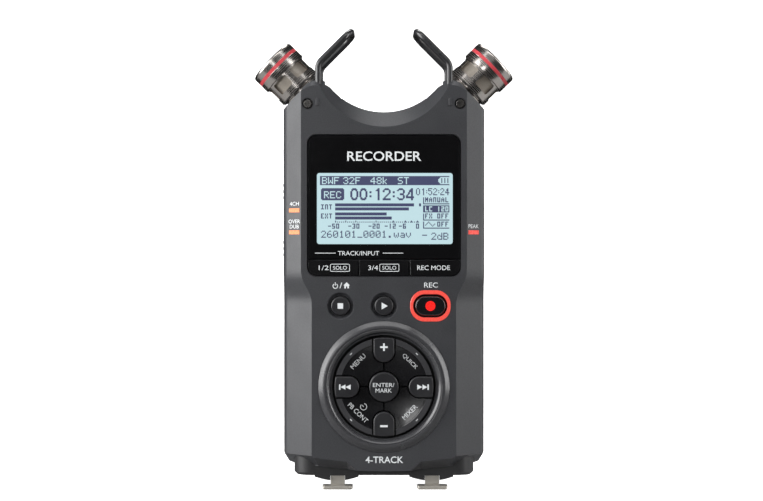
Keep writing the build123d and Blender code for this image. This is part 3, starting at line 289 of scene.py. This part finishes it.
def text_mesh(text, height, width, bold=0.0, thick=PRINT_THICK):
    """Letters centred on the origin, height by width in mm, as thin solids in metres."""
    curve = bpy.data.curves.new("letters", "FONT")
    curve.body = text
    curve.align_x = "CENTER"
    curve.align_y = "CENTER"
    curve.resolution_u = 4
    curve.offset = bold
    curve.extrude = 0.5
    holder = bpy.data.objects.new("letters", curve)
    mesh = bpy.data.meshes.new_from_object(holder)
    bpy.data.objects.remove(holder)
    bpy.data.curves.remove(curve)
    xs = [v.co.x for v in mesh.vertices]
    ys = [v.co.y for v in mesh.vertices]
    tall = height * MM / (max(ys) - min(ys))
    wide = width * MM / (max(xs) - min(xs))
    centre = Vector(((max(xs) + min(xs)) / 2, (max(ys) + min(ys)) / 2, 0))
    for vertex in mesh.vertices:
        flat = vertex.co - centre
        vertex.co = Vector((flat.x * wide, flat.y * tall, flat.z * thick * MM))
    return mesh


def shape_mesh(outline, thick=PRINT_THICK):
    """A flat closed outline in mm as a thin solid in metres."""
    shape = bmesh.new()
    half = thick * MM / 2
    rim = [shape.verts.new((x * MM, y * MM, half)) for x, y in outline]
    front = shape.faces.new(rim)
    front.normal_update()
    grown = bmesh.ops.extrude_face_region(shape, geom=[front])
    for item in grown["geom"]:
        if isinstance(item, bmesh.types.BMVert):
            item.co.z -= 2 * half
    bmesh.ops.recalc_face_normals(shape, faces=shape.faces)
    mesh = bpy.data.meshes.new("shape")
    shape.to_mesh(mesh)
    shape.free()
    return mesh


def box_outline(x, y, width, height):
    """Corners of a rectangle centred at x, y."""
    return [(x - width / 2, y - height / 2), (x + width / 2, y - height / 2),
            (x + width / 2, y + height / 2), (x - width / 2, y + height / 2)]


def round_outline(x, y, width, height, radius, steps=6):
    """Outline of a rectangle with round corners."""
    points = []
    for corner, (right, up) in enumerate(((1, 1), (-1, 1), (-1, -1), (1, -1))):
        for step in range(steps + 1):
            angle = (corner + step / steps) * pi / 2
            points.append((x + right * (width / 2 - radius) + radius * cos(angle),
                           y + up * (height / 2 - radius) + radius * sin(angle)))
    return points


def ring_mesh(outer, inner, thick=PRINT_THICK):
    """The band between two outlines of equal length, as a thin solid."""
    shape = bmesh.new()
    half = thick * MM / 2
    loops = [[shape.verts.new((x * MM, y * MM, z)) for x, y in points]
             for points, z in ((outer, half), (inner, half), (inner, -half), (outer, -half))]
    count = len(outer)
    for index in range(4):
        first, second = loops[index], loops[(index + 1) % 4]
        for step in range(count):
            following = (step + 1) % count
            shape.faces.new((first[step], first[following], second[following], second[step]))
    bmesh.ops.recalc_face_normals(shape, faces=shape.faces)
    mesh = bpy.data.meshes.new("ring")
    shape.to_mesh(mesh)
    shape.free()
    return mesh


def lathe(profile, place, steps=256, crease=radians(28)):
    """A closed profile of radius and height in mm turned about a frame's z axis; creases stay sharp."""
    shape = bmesh.new()
    rows = []
    for step in range(steps):
        angle = 2 * pi * step / steps
        rows.append([shape.verts.new(place @ (Vector((reach * cos(angle), reach * sin(angle), height)) * MM))
                     for reach, height in profile])
    for step, row in enumerate(rows):
        following = rows[(step + 1) % steps]
        for index in range(len(profile)):
            after = (index + 1) % len(profile)
            shape.faces.new((row[index], row[after], following[after], following[index])).smooth = True
    bmesh.ops.recalc_face_normals(shape, faces=shape.faces)
    mesh = bpy.data.meshes.new("lathe")
    shape.to_mesh(mesh)
    shape.free()
    mesh.set_sharp_from_angle(angle=crease)
    return mesh


def joined(parts):
    """One mesh from (mesh, matrix) pairs."""
    whole = bmesh.new()
    for mesh, matrix in parts:
        copy = mesh.copy()
        copy.transform(matrix)
        whole.from_mesh(copy)
        bpy.data.meshes.remove(copy)
    result = bpy.data.meshes.new("joined")
    whole.to_mesh(result)
    whole.free()
    return result


def on_face(x, z, y, turn=0.0):
    """Matrix for a print on the front at x, z (mm) and depth y (m), turned in degrees."""
    return facing((x * MM, y, z * MM), (0, -1, 0)) @ Matrix.Rotation(radians(turn), 4, "Z")


# ---------------------------------------------------------------- display picture

# Character shapes, one number per row, the lowest bit at the right
FONT_SMALL = {"M": (5, 7, 7, 5, 5), "A": (2, 5, 7, 5, 5), "N": (7, 5, 5, 5, 5), "U": (5, 5, 5, 5, 7),
              "L": (4, 4, 4, 4, 7), "C": (7, 4, 4, 4, 7), "F": (7, 4, 6, 4, 4), "X": (5, 5, 2, 5, 5),
              "O": (7, 5, 5, 5, 7), "I": (7, 2, 2, 2, 7), "T": (7, 2, 2, 2, 2), "E": (7, 4, 6, 4, 7),
              "1": (2, 2, 2, 2, 2), "2": (7, 1, 7, 4, 7), "0": (7, 5, 5, 5, 7), "5": (7, 4, 7, 1, 7),
              "3": (7, 1, 3, 1, 7), "6": (7, 4, 7, 5, 7), "-": (0, 0, 7, 0, 0)}
FONT_TEXT = {"B": (30, 17, 17, 30, 17, 17, 30), "W": (17, 17, 17, 21, 21, 27, 17),
             "F": (31, 16, 16, 30, 16, 16, 16), "3": (14, 17, 1, 6, 1, 17, 14), "2": (14, 17, 1, 2, 4, 8, 31),
             "4": (2, 6, 10, 18, 31, 2, 2), "8": (14, 17, 17, 14, 17, 17, 14),
             "k": (16, 16, 18, 20, 24, 20, 18), "S": (15, 16, 16, 14, 1, 1, 30),
             "T": (31, 4, 4, 4, 4, 4, 4), "R": (30, 17, 17, 30, 20, 18, 17),
             "E": (31, 16, 16, 30, 16, 16, 31), "C": (14, 17, 16, 16, 16, 17, 14),
             "0": (14, 17, 19, 21, 25, 17, 14), "1": (4, 12, 4, 4, 4, 4, 14), "6": (6, 8, 16, 30, 17, 17, 14),
             "_": (0, 0, 0, 0, 0, 0, 31), ".": (0, 0, 0, 0, 0, 12, 12), "w": (0, 0, 17, 17, 21, 21, 10),
             "a": (0, 0, 14, 1, 15, 17, 15), "v": (0, 0, 17, 17, 17, 10, 4), "-": (0, 0, 0, 31, 0, 0, 0),
             "d": (1, 1, 13, 19, 17, 17, 15)}
FONT_SLIM = {"0": (6, 9, 9, 9, 9, 9, 6), "1": (2, 6, 2, 2, 2, 2, 2), "2": (6, 9, 1, 2, 4, 8, 15),
             "4": (2, 6, 6, 10, 15, 2, 2), "5": (15, 8, 14, 1, 1, 9, 6)}
FONT_LARGE = {"0": (60, 126, 102, 195, 195, 195, 195, 195, 195, 102, 126, 60),
              "1": (12, 28, 60, 12, 12, 12, 12, 12, 12, 12, 12, 12),
              "2": (60, 126, 195, 195, 3, 6, 12, 24, 48, 96, 255, 255),
              "3": (60, 126, 195, 3, 3, 30, 30, 3, 3, 195, 126, 60),
              "4": (6, 14, 30, 30, 54, 54, 102, 198, 255, 255, 6, 6)}
COLUMNS, ROWS = 128, 64
lit = [[False] * COLUMNS for row in range(ROWS)]


def block(column, row, width, height, on=True):
    """Sets a rectangle of the display's dots."""
    for y in range(row, row + height):
        for x in range(column, column + width):
            lit[y][x] = on


def write(text, column, row, font, width, step, on=True):
    """Writes a line of dot characters, each width dots wide and step dots after the last."""
    for letter in text:
        for down, bits in enumerate(font.get(letter, ())):
            for across in range(width):
                if bits >> (width - 1 - across) & 1:
                    lit[row + down][column + across] = on
        column += step


# Title bar with the battery sign at its end
block(0, 0, 128, 9)
for text, column in (("BWF", 2), ("32F", 23), ("48k", 50), ("ST", 77)):
    write(text, column, 1, FONT_TEXT, 5, 6, False)
block(119, 1, 9, 7, False)
block(118, 2, 1, 5, False)
block(117, 3, 1, 3, False)
for column in (119, 122, 125):
    block(column + 1, 2, 1, 5)
# Recording sign, time gone by and time left
block(2, 12, 21, 12)
block(1, 13, 23, 10)
write("REC", 4, 15, FONT_TEXT, 5, 6, False)
for letter, column in (("0", 30), ("0", 39), ("1", 53), ("2", 62), ("3", 76), ("4", 85)):
    write(letter, column, 12, FONT_LARGE, 8, 9)
for column in (49, 72):
    block(column, 15, 2, 2)
    block(column, 19, 2, 2)
for text, column in (("01", 95), ("52", 107), ("24", 119)):
    write(text, column, 12, FONT_SLIM, 4, 5)
for column in (105, 117):
    block(column, 14, 1, 1)
    block(column, 16, 1, 1)
# Settings in boxes down the right
write("MANUAL", 104, 21, FONT_SMALL, 3, 4)
block(102, 29, 26, 7)
write("LC", 104, 30, FONT_SMALL, 3, 4, False)
write("120", 116, 30, FONT_SMALL, 3, 4, False)
write("FX", 104, 37, FONT_SMALL, 3, 4)
write("OFF", 116, 37, FONT_SMALL, 3, 4)
write("OFF", 116, 45, FONT_SMALL, 3, 4)
for row in (21, 37, 45):
    block(102, row, 1, 6)
    block(102, row + 6, 26, 1)
for step, down in enumerate((3, 2, 1, 0, 1, 2, 3, 4, 3, 2)):
    block(104 + step, 45 + down, 1, 1)
# Level meters over their scale
write("INT", 1, 28, FONT_SMALL, 3, 4)
write("EXT", 1, 37, FONT_SMALL, 3, 4)
for row, length in ((27, 78), (31, 73), (36, 51), (40, 56)):
    block(15, row, length, 3)
block(98, 27, 2, 3)
for column in range(15, 98, 2):
    block(column, 45, 1, 1)
for column in (15, 25, 35, 55, 72, 84, 90, 96):
    block(column, 44, 1, 2)
for text, column in (("-50", 8), ("-30", 28), ("-20", 48), ("-12", 64), ("-6", 78), ("0", 95)):
    write(text, column, 47, FONT_SMALL, 3, 4)
# File name and peak level
write("260101_0001.wav", 1, 54, FONT_TEXT, 5, 6)
write("-", 101, 55, FONT_TEXT, 5, 6)
write("2dB", 110, 56, FONT_TEXT, 5, 6)

# Pitch of the dots and how far their picture's middle is from the panel's middle, in mm
DOT, PICTURE_SHIFT = 0.3484, (0.25, 0.05)
panel_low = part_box("lcd_panel")[0]
dots = []
for row in range(ROWS):
    start = None
    for column in range(COLUMNS + 1):
        filled = column < COLUMNS and lit[row][column]
        if filled and start is None:
            start = column
        elif not filled and start is not None:
            dots.append(((start + column) / 2, row + 0.5, column - start))
            start = None
picture_x = middle("lcd_panel").x / MM + PICTURE_SHIFT[0]
picture_z = middle("lcd_panel").z / MM + PICTURE_SHIFT[1]
runs = [(shape_mesh(box_outline(0, 0, length * DOT, DOT)),
         on_face(picture_x + (across - COLUMNS / 2) * DOT, picture_z + (ROWS / 2 - down) * DOT, panel_low.y))
        for across, down, length in dots]
add_piece("display_dots", joined(runs), lcd_ink, "recorder")


# ---------------------------------------------------------------- printed legends

front_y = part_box("display_window")[0].y


def print_parts(name, parts, material, body):
    """One piece from several flat shapes."""
    return add_piece(name, joined(parts), material, body)


def words(text, x, z, y, height, width, turn=0.0, bold=0.0):
    """A line of letters on the front as a (mesh, matrix) pair; y is in metres."""
    return text_mesh(text, height, width, bold), on_face(x, z, y, turn)


def patch(outline, x, z, y, turn=0.0):
    """A flat shape on the front as a (mesh, matrix) pair; y is in metres."""
    return shape_mesh(outline), on_face(x, z, y, turn)


def circle(radius, steps=28):
    """Outline of a circle about the origin."""
    angles = [2 * pi * step / steps for step in range(steps)]
    return [(radius * cos(angle), radius * sin(angle)) for angle in angles]


def arc_band(radius, width, start, end, steps=20):
    """Outline of an open ring from one angle to another, in degrees."""
    points = []
    for reach, order in ((radius + width / 2, range(steps + 1)), (radius - width / 2, range(steps, -1, -1))):
        for step in order:
            angle = radians(start + (end - start) * step / steps)
            points.append((reach * cos(angle), reach * sin(angle)))
    return points


# Shell and window; words give text, x, z, y, height and width
SLASH = [(-0.45, -1.0), (-0.17, -1.0), (0.45, 1.0), (0.17, 1.0)]
HOUSE = [(-0.8, -1.0), (-0.25, -1.0), (-0.25, -0.35), (0.25, -0.35), (0.25, -1.0), (0.8, -1.0), (0.8, 0.0),
         (1.15, 0.0), (0.0, 1.15), (-1.15, 0.0), (-0.8, 0.0)]
POWER_X, SLASH_X, HOUSE_X, ICON_Z = -16.75, -14.85, -12.85, 70.75
print_parts("shell_legends", [words("REC", 16.2, 70.9, front_y, 1.75, 4.7, bold=0.005),
                              words("4-TRACK", 0.15, 10.7, front_y, 2.3, 13.0, bold=0.012),
                              patch(arc_band(0.8, 0.28, 122, 418), POWER_X, ICON_Z - 0.2, front_y),
                              patch(box_outline(0, 0.55, 0.28, 1.15), POWER_X, ICON_Z, front_y),
                              patch(SLASH, SLASH_X, ICON_Z, front_y),
                              patch(HOUSE, HOUSE_X, ICON_Z, front_y)], label_white, "recorder")
print_parts("window_legends", [words("RECORDER", 0.1, 115.3, front_y, 3.3, 25.5, bold=0.01),
                               words("TRACK/INPUT", -8.75, 81.85, front_y, 1.5, 14.2)],
            label_white, "recorder")
RULE_LENGTH, RULE_WIDTH, RULE_Z = 7.1, 0.28, 81.9
print_parts("window_rules", [patch(box_outline(0, 0, RULE_LENGTH, RULE_WIDTH), x, RULE_Z, front_y)
                             for x in (-20.25, 3.1)], label_grey, "recorder")


def boxed(text, x, z, y):
    """A word in a rounded frame."""
    edge = ring_mesh(round_outline(0, 0, 6.8, 2.7, 0.5), round_outline(0, 0, 6.4, 2.3, 0.3))
    return [(edge, on_face(x, z, y)), words(text, x, z, y, 1.3, 4.8)]


# Soft keys and the row of keys under them
SOFT_KEY_TEXT_Z, SOFT_KEY_TEXT_HEIGHT, BOX_OFFSET = 76.85, 1.6, 5.6
for node, text, x in (("soft_key_left", "1/2", -20.75), ("soft_key_middle", "3/4", -3.75)):
    key_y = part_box(node)[0].y
    print_parts(node + "_legend",
                [words(text, x, SOFT_KEY_TEXT_Z, key_y, SOFT_KEY_TEXT_HEIGHT, 3.4)]
                + boxed("SOLO", x + BOX_OFFSET, SOFT_KEY_TEXT_Z, key_y), label_white, node + "_body")
key_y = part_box("soft_key_right")[0].y
print_parts("soft_key_right_legend",
            [words("REC MODE", 17.1, SOFT_KEY_TEXT_Z, key_y, SOFT_KEY_TEXT_HEIGHT, 11.3)], label_white,
            "soft_key_right_body")

key_row_z = middle("stop_key").z / MM
TRIANGLE, TRIANGLE_SHIFT = [(-1.0, -1.2), (1.15, 0.0), (-1.0, 1.2)], 0.2
for node, name, outline, shift, material in (
        ("stop_key", "stop_mark", box_outline(0, 0, 1.9, 1.9), 0, label_white),
        ("play_key", "play_mark", TRIANGLE, TRIANGLE_SHIFT, label_white),
        ("record_key", "record_mark", circle(1.7), 0, record_red)):
    place = middle(node)
    print_parts(name, [patch(outline, place.x / MM + shift, key_row_z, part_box(node)[0].y)], material,
                node + "_body")

# Keypad
dial_x, dial_z = middle("dial_ring").x / MM, middle("dial_ring").z / MM
arrow_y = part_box("plus_key")[0].y
enter_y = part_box("enter_key")[0].y
PLUS = [(-0.3, -1.3), (0.3, -1.3), (0.3, -0.3), (1.3, -0.3), (1.3, 0.3), (0.3, 0.3), (0.3, 1.3), (-0.3, 1.3),
        (-0.3, 0.3), (-1.3, 0.3), (-1.3, -0.3), (-0.3, -0.3)]
SKIP = [[(-1.9, -0.9), (-0.1, 0.0), (-1.9, 0.9)], [(-0.1, -0.9), (1.6, 0.0), (-0.1, 0.9)],
        box_outline(1.85, 0, 0.5, 1.9)]
PLUS_REACH, MINUS_REACH, SKIP_REACH = 13.75, 13.45, 13.35
print_parts("plus_mark", [patch(PLUS, dial_x, dial_z + PLUS_REACH, arrow_y)], label_white, "plus_key_body")
print_parts("minus_mark", [patch(box_outline(0, 0, 2.6, 0.72), dial_x, dial_z - MINUS_REACH, arrow_y)],
            label_white, "minus_key_body")
for node, sign in (("next_key", 1), ("previous_key", -1)):
    marks = [patch([(sign * x, y) for x, y in outline][::sign], dial_x + sign * SKIP_REACH, dial_z, arrow_y)
             for outline in SKIP]
    print_parts(node.replace("key", "mark"), marks, label_white, node + "_body")
print_parts("enter_legend", [words("ENTER/", dial_x - 0.1, dial_z + 0.72, enter_y, 1.4, 7.4),
                             words("MARK", dial_x - 0.1, dial_z - 1.2, enter_y, 1.4, 5.6)],
            label_white, "enter_key_body")

# The quadrant keys' hollow is part of a ball; prints stand DISH_LIFT above it, and rim_y is the flat rim
DISH_RADIUS, DISH_CENTRE_Y, DISH_LIFT = 78.0, -94.0, 0.045
rim_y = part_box("menu_key")[0].y / MM


# Radius and height towards the front, in mm: slope, crest, fine line, shoulder and seat
DIAL_RING = ((22.68, 17.42), (22.62, 17.52), (22.2, 17.75), (21.7, 18.08), (21.3, 18.36), (20.95, 18.55),
             (20.6, 18.64), (20.3, 18.64), (20.08, 18.6), (20.0, 18.52), (19.94, 18.44), (19.84, 18.44),
             (19.78, 18.51), (19.7, 18.55), (19.5, 18.47), (19.2, 18.28), (18.9, 18.0), (18.66, 17.72),
             (18.5, 17.42), (18.45, 17.0), (18.45, 16.4), (22.68, 16.4))
ring_paint = moulded("ring_paint", (0.046, 0.046, 0.050), 0.24, grain=3000, relief=0.004)
ring = add_piece("dial_ring_surface", lathe(DIAL_RING, on_face(dial_x, dial_z, 0)), ring_paint, "recorder")
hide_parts("dial_ring")

# Rim of each quadrant key, in mm: radii, thickness of its paint and distance from the dial's cross lines
RIM_INNER, RIM_OUTER, RIM_THICK, RIM_END, RIM_STEPS = 15.1, 17.0, 0.05, 4.1, 24
rim_paint = moulded("rim_paint", (0.030, 0.030, 0.033), 0.38, grain=3200, relief=0.006)
for node, quarter in (("menu_key", 90), ("quick_key", 0), ("playback_key", 180), ("mixer_key", 270)):
    outline = []
    for reach, order in ((RIM_OUTER, range(RIM_STEPS + 1)), (RIM_INNER, range(RIM_STEPS, -1, -1))):
        margin = asin(RIM_END / reach)
        for step in order:
            angle = margin + (pi / 2 - 2 * margin) * step / RIM_STEPS + radians(quarter)
            outline.append((reach * cos(angle), reach * sin(angle)))
    sector = shape_mesh(outline, RIM_THICK), on_face(dial_x, dial_z, rim_y * MM)
    print_parts(node.replace("key", "rim"), [sector], rim_paint, node + "_body")


def draped(parts):
    """Lays prints on the hollowed faces around the dial's middle."""
    mesh = joined(parts)
    for vertex in mesh.vertices:
        reach = ((vertex.co.x / MM - dial_x) ** 2 + (vertex.co.z / MM - dial_z) ** 2) ** 0.5
        vertex.co.y += (DISH_CENTRE_Y + sqrt(DISH_RADIUS**2 - reach**2) - DISH_LIFT) * MM
    return mesh


QUADRANT_TEXT, TICK_REACH = 1.6, 11.35
timer_x, timer_z = dial_x - 7.0, dial_z - 6.9
timer = [patch(arc_band(1.1, 0.22, 140, 440), timer_x, timer_z, 0),
         patch(box_outline(0, 0.35, 0.22, 0.8), timer_x, timer_z, 0, 45)]
# Key, word, x and z from the dial's middle, turn in degrees, length
for node, text, x, z, turn, length in (("menu_key", "MENU", -8.9, 8.75, 45, 6.3),
                                       ("quick_key", "QUICK", 8.95, 8.75, -45, 6.6),
                                       ("playback_key", "PB CONT", -8.95, -8.95, -45, 8.7),
                                       ("mixer_key", "MIXER", 8.9, -8.7, 45, 6.3)):
    parts = [words(text, dial_x + x, dial_z + z, 0, QUADRANT_TEXT, length, turn)]
    if node == "playback_key":
        parts += timer
    add_piece(node.replace("key", "legend"), draped(parts), label_grey, node + "_body")
    side, rise = (1 if x > 0 else -1), (1 if z > 0 else -1)
    tick = patch(box_outline(0, 0, 0.9, 0.3), dial_x + side * TICK_REACH, dial_z + rise * TICK_REACH,
                 (rim_y - RIM_THICK / 2) * MM, -45 * side * rise)
    print_parts(node.replace("key", "tick"), [tick], label_grey, node + "_body")

# Middle and inner edge of the side chamfers at the lights, and the lights' middles, in mm
CHAMFER_X, CHAMFER_EDGE_X, LIGHT_HALF = 31.0, 28.6, 0.7
lower_light = middle("peak_light").z / MM
upper_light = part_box("left_lights")[1].z / MM - LIGHT_HALF


def on_chamfer(side, z):
    """Matrix on a side chamfer; side is -1 on the left."""
    return facing((side * CHAMFER_X * MM, (CHAMFER_X - CHAMFER_EDGE_X) * MM + front_y, z * MM), (side, -1, 0))


LIGHT_TEXT = 1.3
# Word, z of its middle and length, in mm
LEFT_LIGHTS = (("4CH", upper_light + 2.25, 4.6), ("OVER", lower_light + 3.75, 5.8),
               ("DUB", lower_light + 1.95, 4.6))
PEAK_LIGHT = (("PEAK", lower_light + 2.1, 5.2),)
for name, side, lines in (("left_light_legends", -1, LEFT_LIGHTS), ("peak_legend", 1, PEAK_LIGHT)):
    print_parts(name, [(text_mesh(text, LIGHT_TEXT, width), on_chamfer(side, z)) for text, z, width in lines],
                label_white, "recorder")


# ---------------------------------------------------------------- microphone heads

# In mm: the capsule's radius and its wires' thickness, heights above the pivot, spacing and number of
# the wires, and the rounding of the cap's end
CAPSULE_RADIUS, WIRE = 7.1, 0.16
WINDOW_LOW, WINDOW_HIGH, CAPSULE_END = 11.4, 15.9, 22.25
RING_PITCH, END_PITCH, UPRIGHTS = 0.62, 0.68, 72
END_ROUND, END_ROUND_X, END_ROUND_Z = 1.0, 7.79, 22.14
# Radius and height above the pivot, in mm: bore, broken lower edge, groove for the red band, rounded end
CAP_SHAPE = ((7.25, 16.3), (8.53, 16.3), (8.58, 16.32), (8.77, 16.5), (8.79, 16.56), (8.79, 19.03),
             (8.76, 19.07), (8.33, 19.07), (8.3, 19.1), (8.3, 20.28), (8.33, 20.31), (8.76, 20.31),
             (8.79, 20.35), (8.79, 22.1),
             *((END_ROUND_X + END_ROUND * cos(radians(angle)), END_ROUND_Z + END_ROUND * sin(radians(angle)))
               for angle in range(0, 91, 10)),
             (7.3, 23.14), (7.25, 23.1))
BAND_SHAPE = ((8.3, 19.08), (8.71, 19.08), (8.74, 19.11), (8.74, 20.27), (8.71, 20.3), (8.3, 20.3))


def grille_parts(pivot, axis):
    """Wires over a capsule: rings and uprights behind the windows, crossed wires on the end."""
    def lifted(height):
        return facing(Vector(pivot) + axis * height * MM, axis, (0, 1, 0))

    parts = []
    rings = int((WINDOW_HIGH - WINDOW_LOW) / RING_PITCH) + 1
    for step in range(rings):
        ring = ring_mesh(circle(CAPSULE_RADIUS + WIRE, UPRIGHTS), circle(CAPSULE_RADIUS, UPRIGHTS), WIRE)
        parts.append((ring, lifted(WINDOW_LOW + step * RING_PITCH)))
    upright = shape_mesh(box_outline(CAPSULE_RADIUS + WIRE / 2, 0, WIRE, WIRE), WINDOW_HIGH - WINDOW_LOW)
    for step in range(UPRIGHTS):
        turn = Matrix.Rotation(2 * pi * step / UPRIGHTS, 4, "Z")
        parts.append((upright, lifted((WINDOW_LOW + WINDOW_HIGH) / 2) @ turn))
    count = int(CAPSULE_RADIUS / END_PITCH)
    for step in range(-count, count + 1):
        across = step * END_PITCH
        length = 2 * sqrt(max(0.0, (CAPSULE_RADIUS - WIRE) ** 2 - across**2))
        if length > WIRE:
            wire = shape_mesh(box_outline(0, across, length, WIRE), WIRE)
            for angle, rise in ((0, 0.0), (90, WIRE / 2)):
                turn = Matrix.Rotation(radians(angle), 4, "Z")
                parts.append((wire, lifted(CAPSULE_END + rise) @ turn))
    return parts


wire_metal = moulded("wire_metal", (0.42, 0.38, 0.33), 0.42, grain=3000, relief=0.004, metal=0.8)
for side, axis, chrome in (("left", left_axis, materials["dark_chrome"]),
                           ("right", right_axis, right_chrome)):
    pivot = joints[f"mic_{side}_swing"]["pos_m"]
    print_parts(f"mic_grille_{side}", grille_parts(pivot, axis), wire_metal, f"mic_{side}")
    turned_about = facing(pivot, axis, (0, 1, 0))
    for node, profile, material in ((f"mic_cap_{side}", CAP_SHAPE, chrome),
                                    (f"mic_band_{side}", BAND_SHAPE, materials["band_red"])):
        surface = add_piece(node + "_surface", lathe(profile, turned_about), material, f"mic_{side}")
        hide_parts(node)


def side_words(text, side, y, z, height, width):
    """A line of letters on a side wall."""
    wall_x = (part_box("rear_shell")[1 if side > 0 else 0]).x
    return text_mesh(text, height, width, 0.01), facing((wall_x, y * MM, z * MM), (side, 0, 0))


# Word, y and z of its middle, height and width, in mm
LEFT_WORDS = (("PHONES", 7.5, 60, 1.5, 7.0), ("REMOTE", 7.5, 48, 1.5, 7.0), ("INPUT", -0.8, 75.5, 1.2, 4.2),
              ("HOLD", -0.8, 95.6, 1.2, 3.8))
RIGHT_WORDS = (("LEVEL", 7.5, 73, 1.5, 6.0), ("USB", 6.5, 52, 1.5, 4.0))
for name, side, lines in (("side_legends_left", -1, LEFT_WORDS), ("side_legends_right", 1, RIGHT_WORDS)):
    print_parts(name, [side_words(text, side, *sizes) for text, *sizes in lines], label_white, "recorder")


# ---------------------------------------------------------------- stage, lights and camera

def sweep(name, profile, reach, glow):
    """A stage surface along a profile of y, z points, reach metres to each side, glowing evenly."""
    material, tree, shader, place = new_material(name)
    tree.links.new(tint(tree, noise(tree, place, 4), (0.86, 0.86, 0.86), (0.90, 0.90, 0.90)),
                   shader.inputs["Base Color"])
    shader.inputs["Roughness"].default_value = 0.9
    shader.inputs["Emission Color"].default_value = (1, 1, 1, 1)
    shader.inputs["Emission Strength"].default_value = glow
    shape = bmesh.new()
    rows = [[shape.verts.new((side * reach, y, z)) for side in (-1, 1)] for y, z in profile]
    for low, high in zip(rows, rows[1:]):
        shape.faces.new((low[0], low[1], high[1], high[0])).smooth = True
    mesh = bpy.data.meshes.new(name)
    shape.to_mesh(mesh)
    shape.free()
    mesh.materials.append(material)
    surface = bpy.data.objects.new(name, mesh)
    bpy.context.scene.collection.objects.link(surface)
    surface.visible_diffuse = False
    return surface


def lay_stage():
    """A white floor that curves up into a backdrop, and a dimmer card that stands for it in reflections."""
    front, back, bend, height, reach = -1.6, 0.9, 0.5, 2.2, 2.0
    turns = [step / 12 * pi / 2 for step in range(13)]
    curve = [(back - bend + bend * sin(turn), bend - bend * cos(turn)) for turn in turns]
    sweep("floor", [(front, 0.0)] + curve + [(back, height)], reach, 1.0).visible_glossy = False
    card_front, card_back, card_reach, card_glow = -0.14, 0.1, 0.4, 0.28
    card = sweep("floor_card", [(card_front, 0.0), (card_back, 0.0)], card_reach, card_glow)
    card.visible_camera = False
    card.visible_shadow = False


AIM = Vector((0, 0, 0.08))
CAMERA_PLACE = (-0.00084, -0.66, 0.0828)
LENS, SENSOR = 88.0, 36.0
WORLD_LIGHT = 0.028


def add_softbox(name, azimuth, elevation, distance, size, power):
    """A soft area light aimed at the recorder; azimuth runs from the camera's side towards the left."""
    lamp = bpy.data.lights.new(name, "AREA")
    lamp.shape = "RECTANGLE"
    lamp.size, lamp.size_y = size
    lamp.energy = power
    turn, rise = radians(azimuth), radians(elevation)
    out = Vector((-sin(turn) * cos(rise), -cos(turn) * cos(rise), sin(rise)))
    holder = bpy.data.objects.new(name, lamp)
    holder.location = AIM + out * distance
    holder.rotation_euler = out.to_track_quat("Z", "Y").to_euler()
    bpy.context.scene.collection.objects.link(holder)


def light_world(strength):
    """Faint even light from all round."""
    world = bpy.data.worlds.new("surroundings")
    world.use_nodes = True
    world.node_tree.nodes["Background"].inputs["Color"].default_value = (1, 1, 1, 1)
    world.node_tree.nodes["Background"].inputs["Strength"].default_value = strength
    bpy.context.scene.world = world


def aim_camera():
    """Level camera straight in front, at the photograph's distance and height."""
    lens_data = bpy.data.cameras.new("camera")
    lens_data.lens = LENS
    lens_data.sensor_width = SENSOR
    camera = bpy.data.objects.new("camera", lens_data)
    camera.location = CAMERA_PLACE
    camera.rotation_euler = (pi / 2, 0, 0)
    bpy.context.scene.collection.objects.link(camera)
    bpy.context.scene.camera = camera


lay_stage()
aim_camera()
light_world(WORLD_LIGHT)
# Name, azimuth and elevation in degrees, distance and size in metres, watts
SOFTBOXES = (
    ("left_front", 45, 12, 0.9, (0.3, 0.7), 2.6),
    ("left_key", 66, 7, 0.9, (0.3, 0.9), 7.8),
    ("left_side", 84, 4, 0.9, (0.25, 1.1), 9.0),
    ("right_front", -66, 8, 0.9, (0.3, 0.8), 5.4),
    ("right_side", -106, 10, 0.9, (0.3, 0.7), 2.2),
    ("top_front", 0, 60, 0.9, (0.8, 0.3), 2.7),
    ("top_back", 180, 66, 0.9, (0.4, 0.25), 3.6),
    ("front_fill", 0, 32, 0.9, (1.2, 0.35), 0.3),
    ("left_head_rim", -50, 38, 0.9, (0.25, 0.25), 0.6),
    ("right_head_rim", 50, 38, 0.9, (0.25, 0.25), 0.6),
    ("keypad_glint", 16, 9, 0.9, (0.2, 0.2), 0.7),
)
for softbox in SOFTBOXES:
    add_softbox(*softbox)
bpy.context.scene.view_settings.view_transform = "Standard"
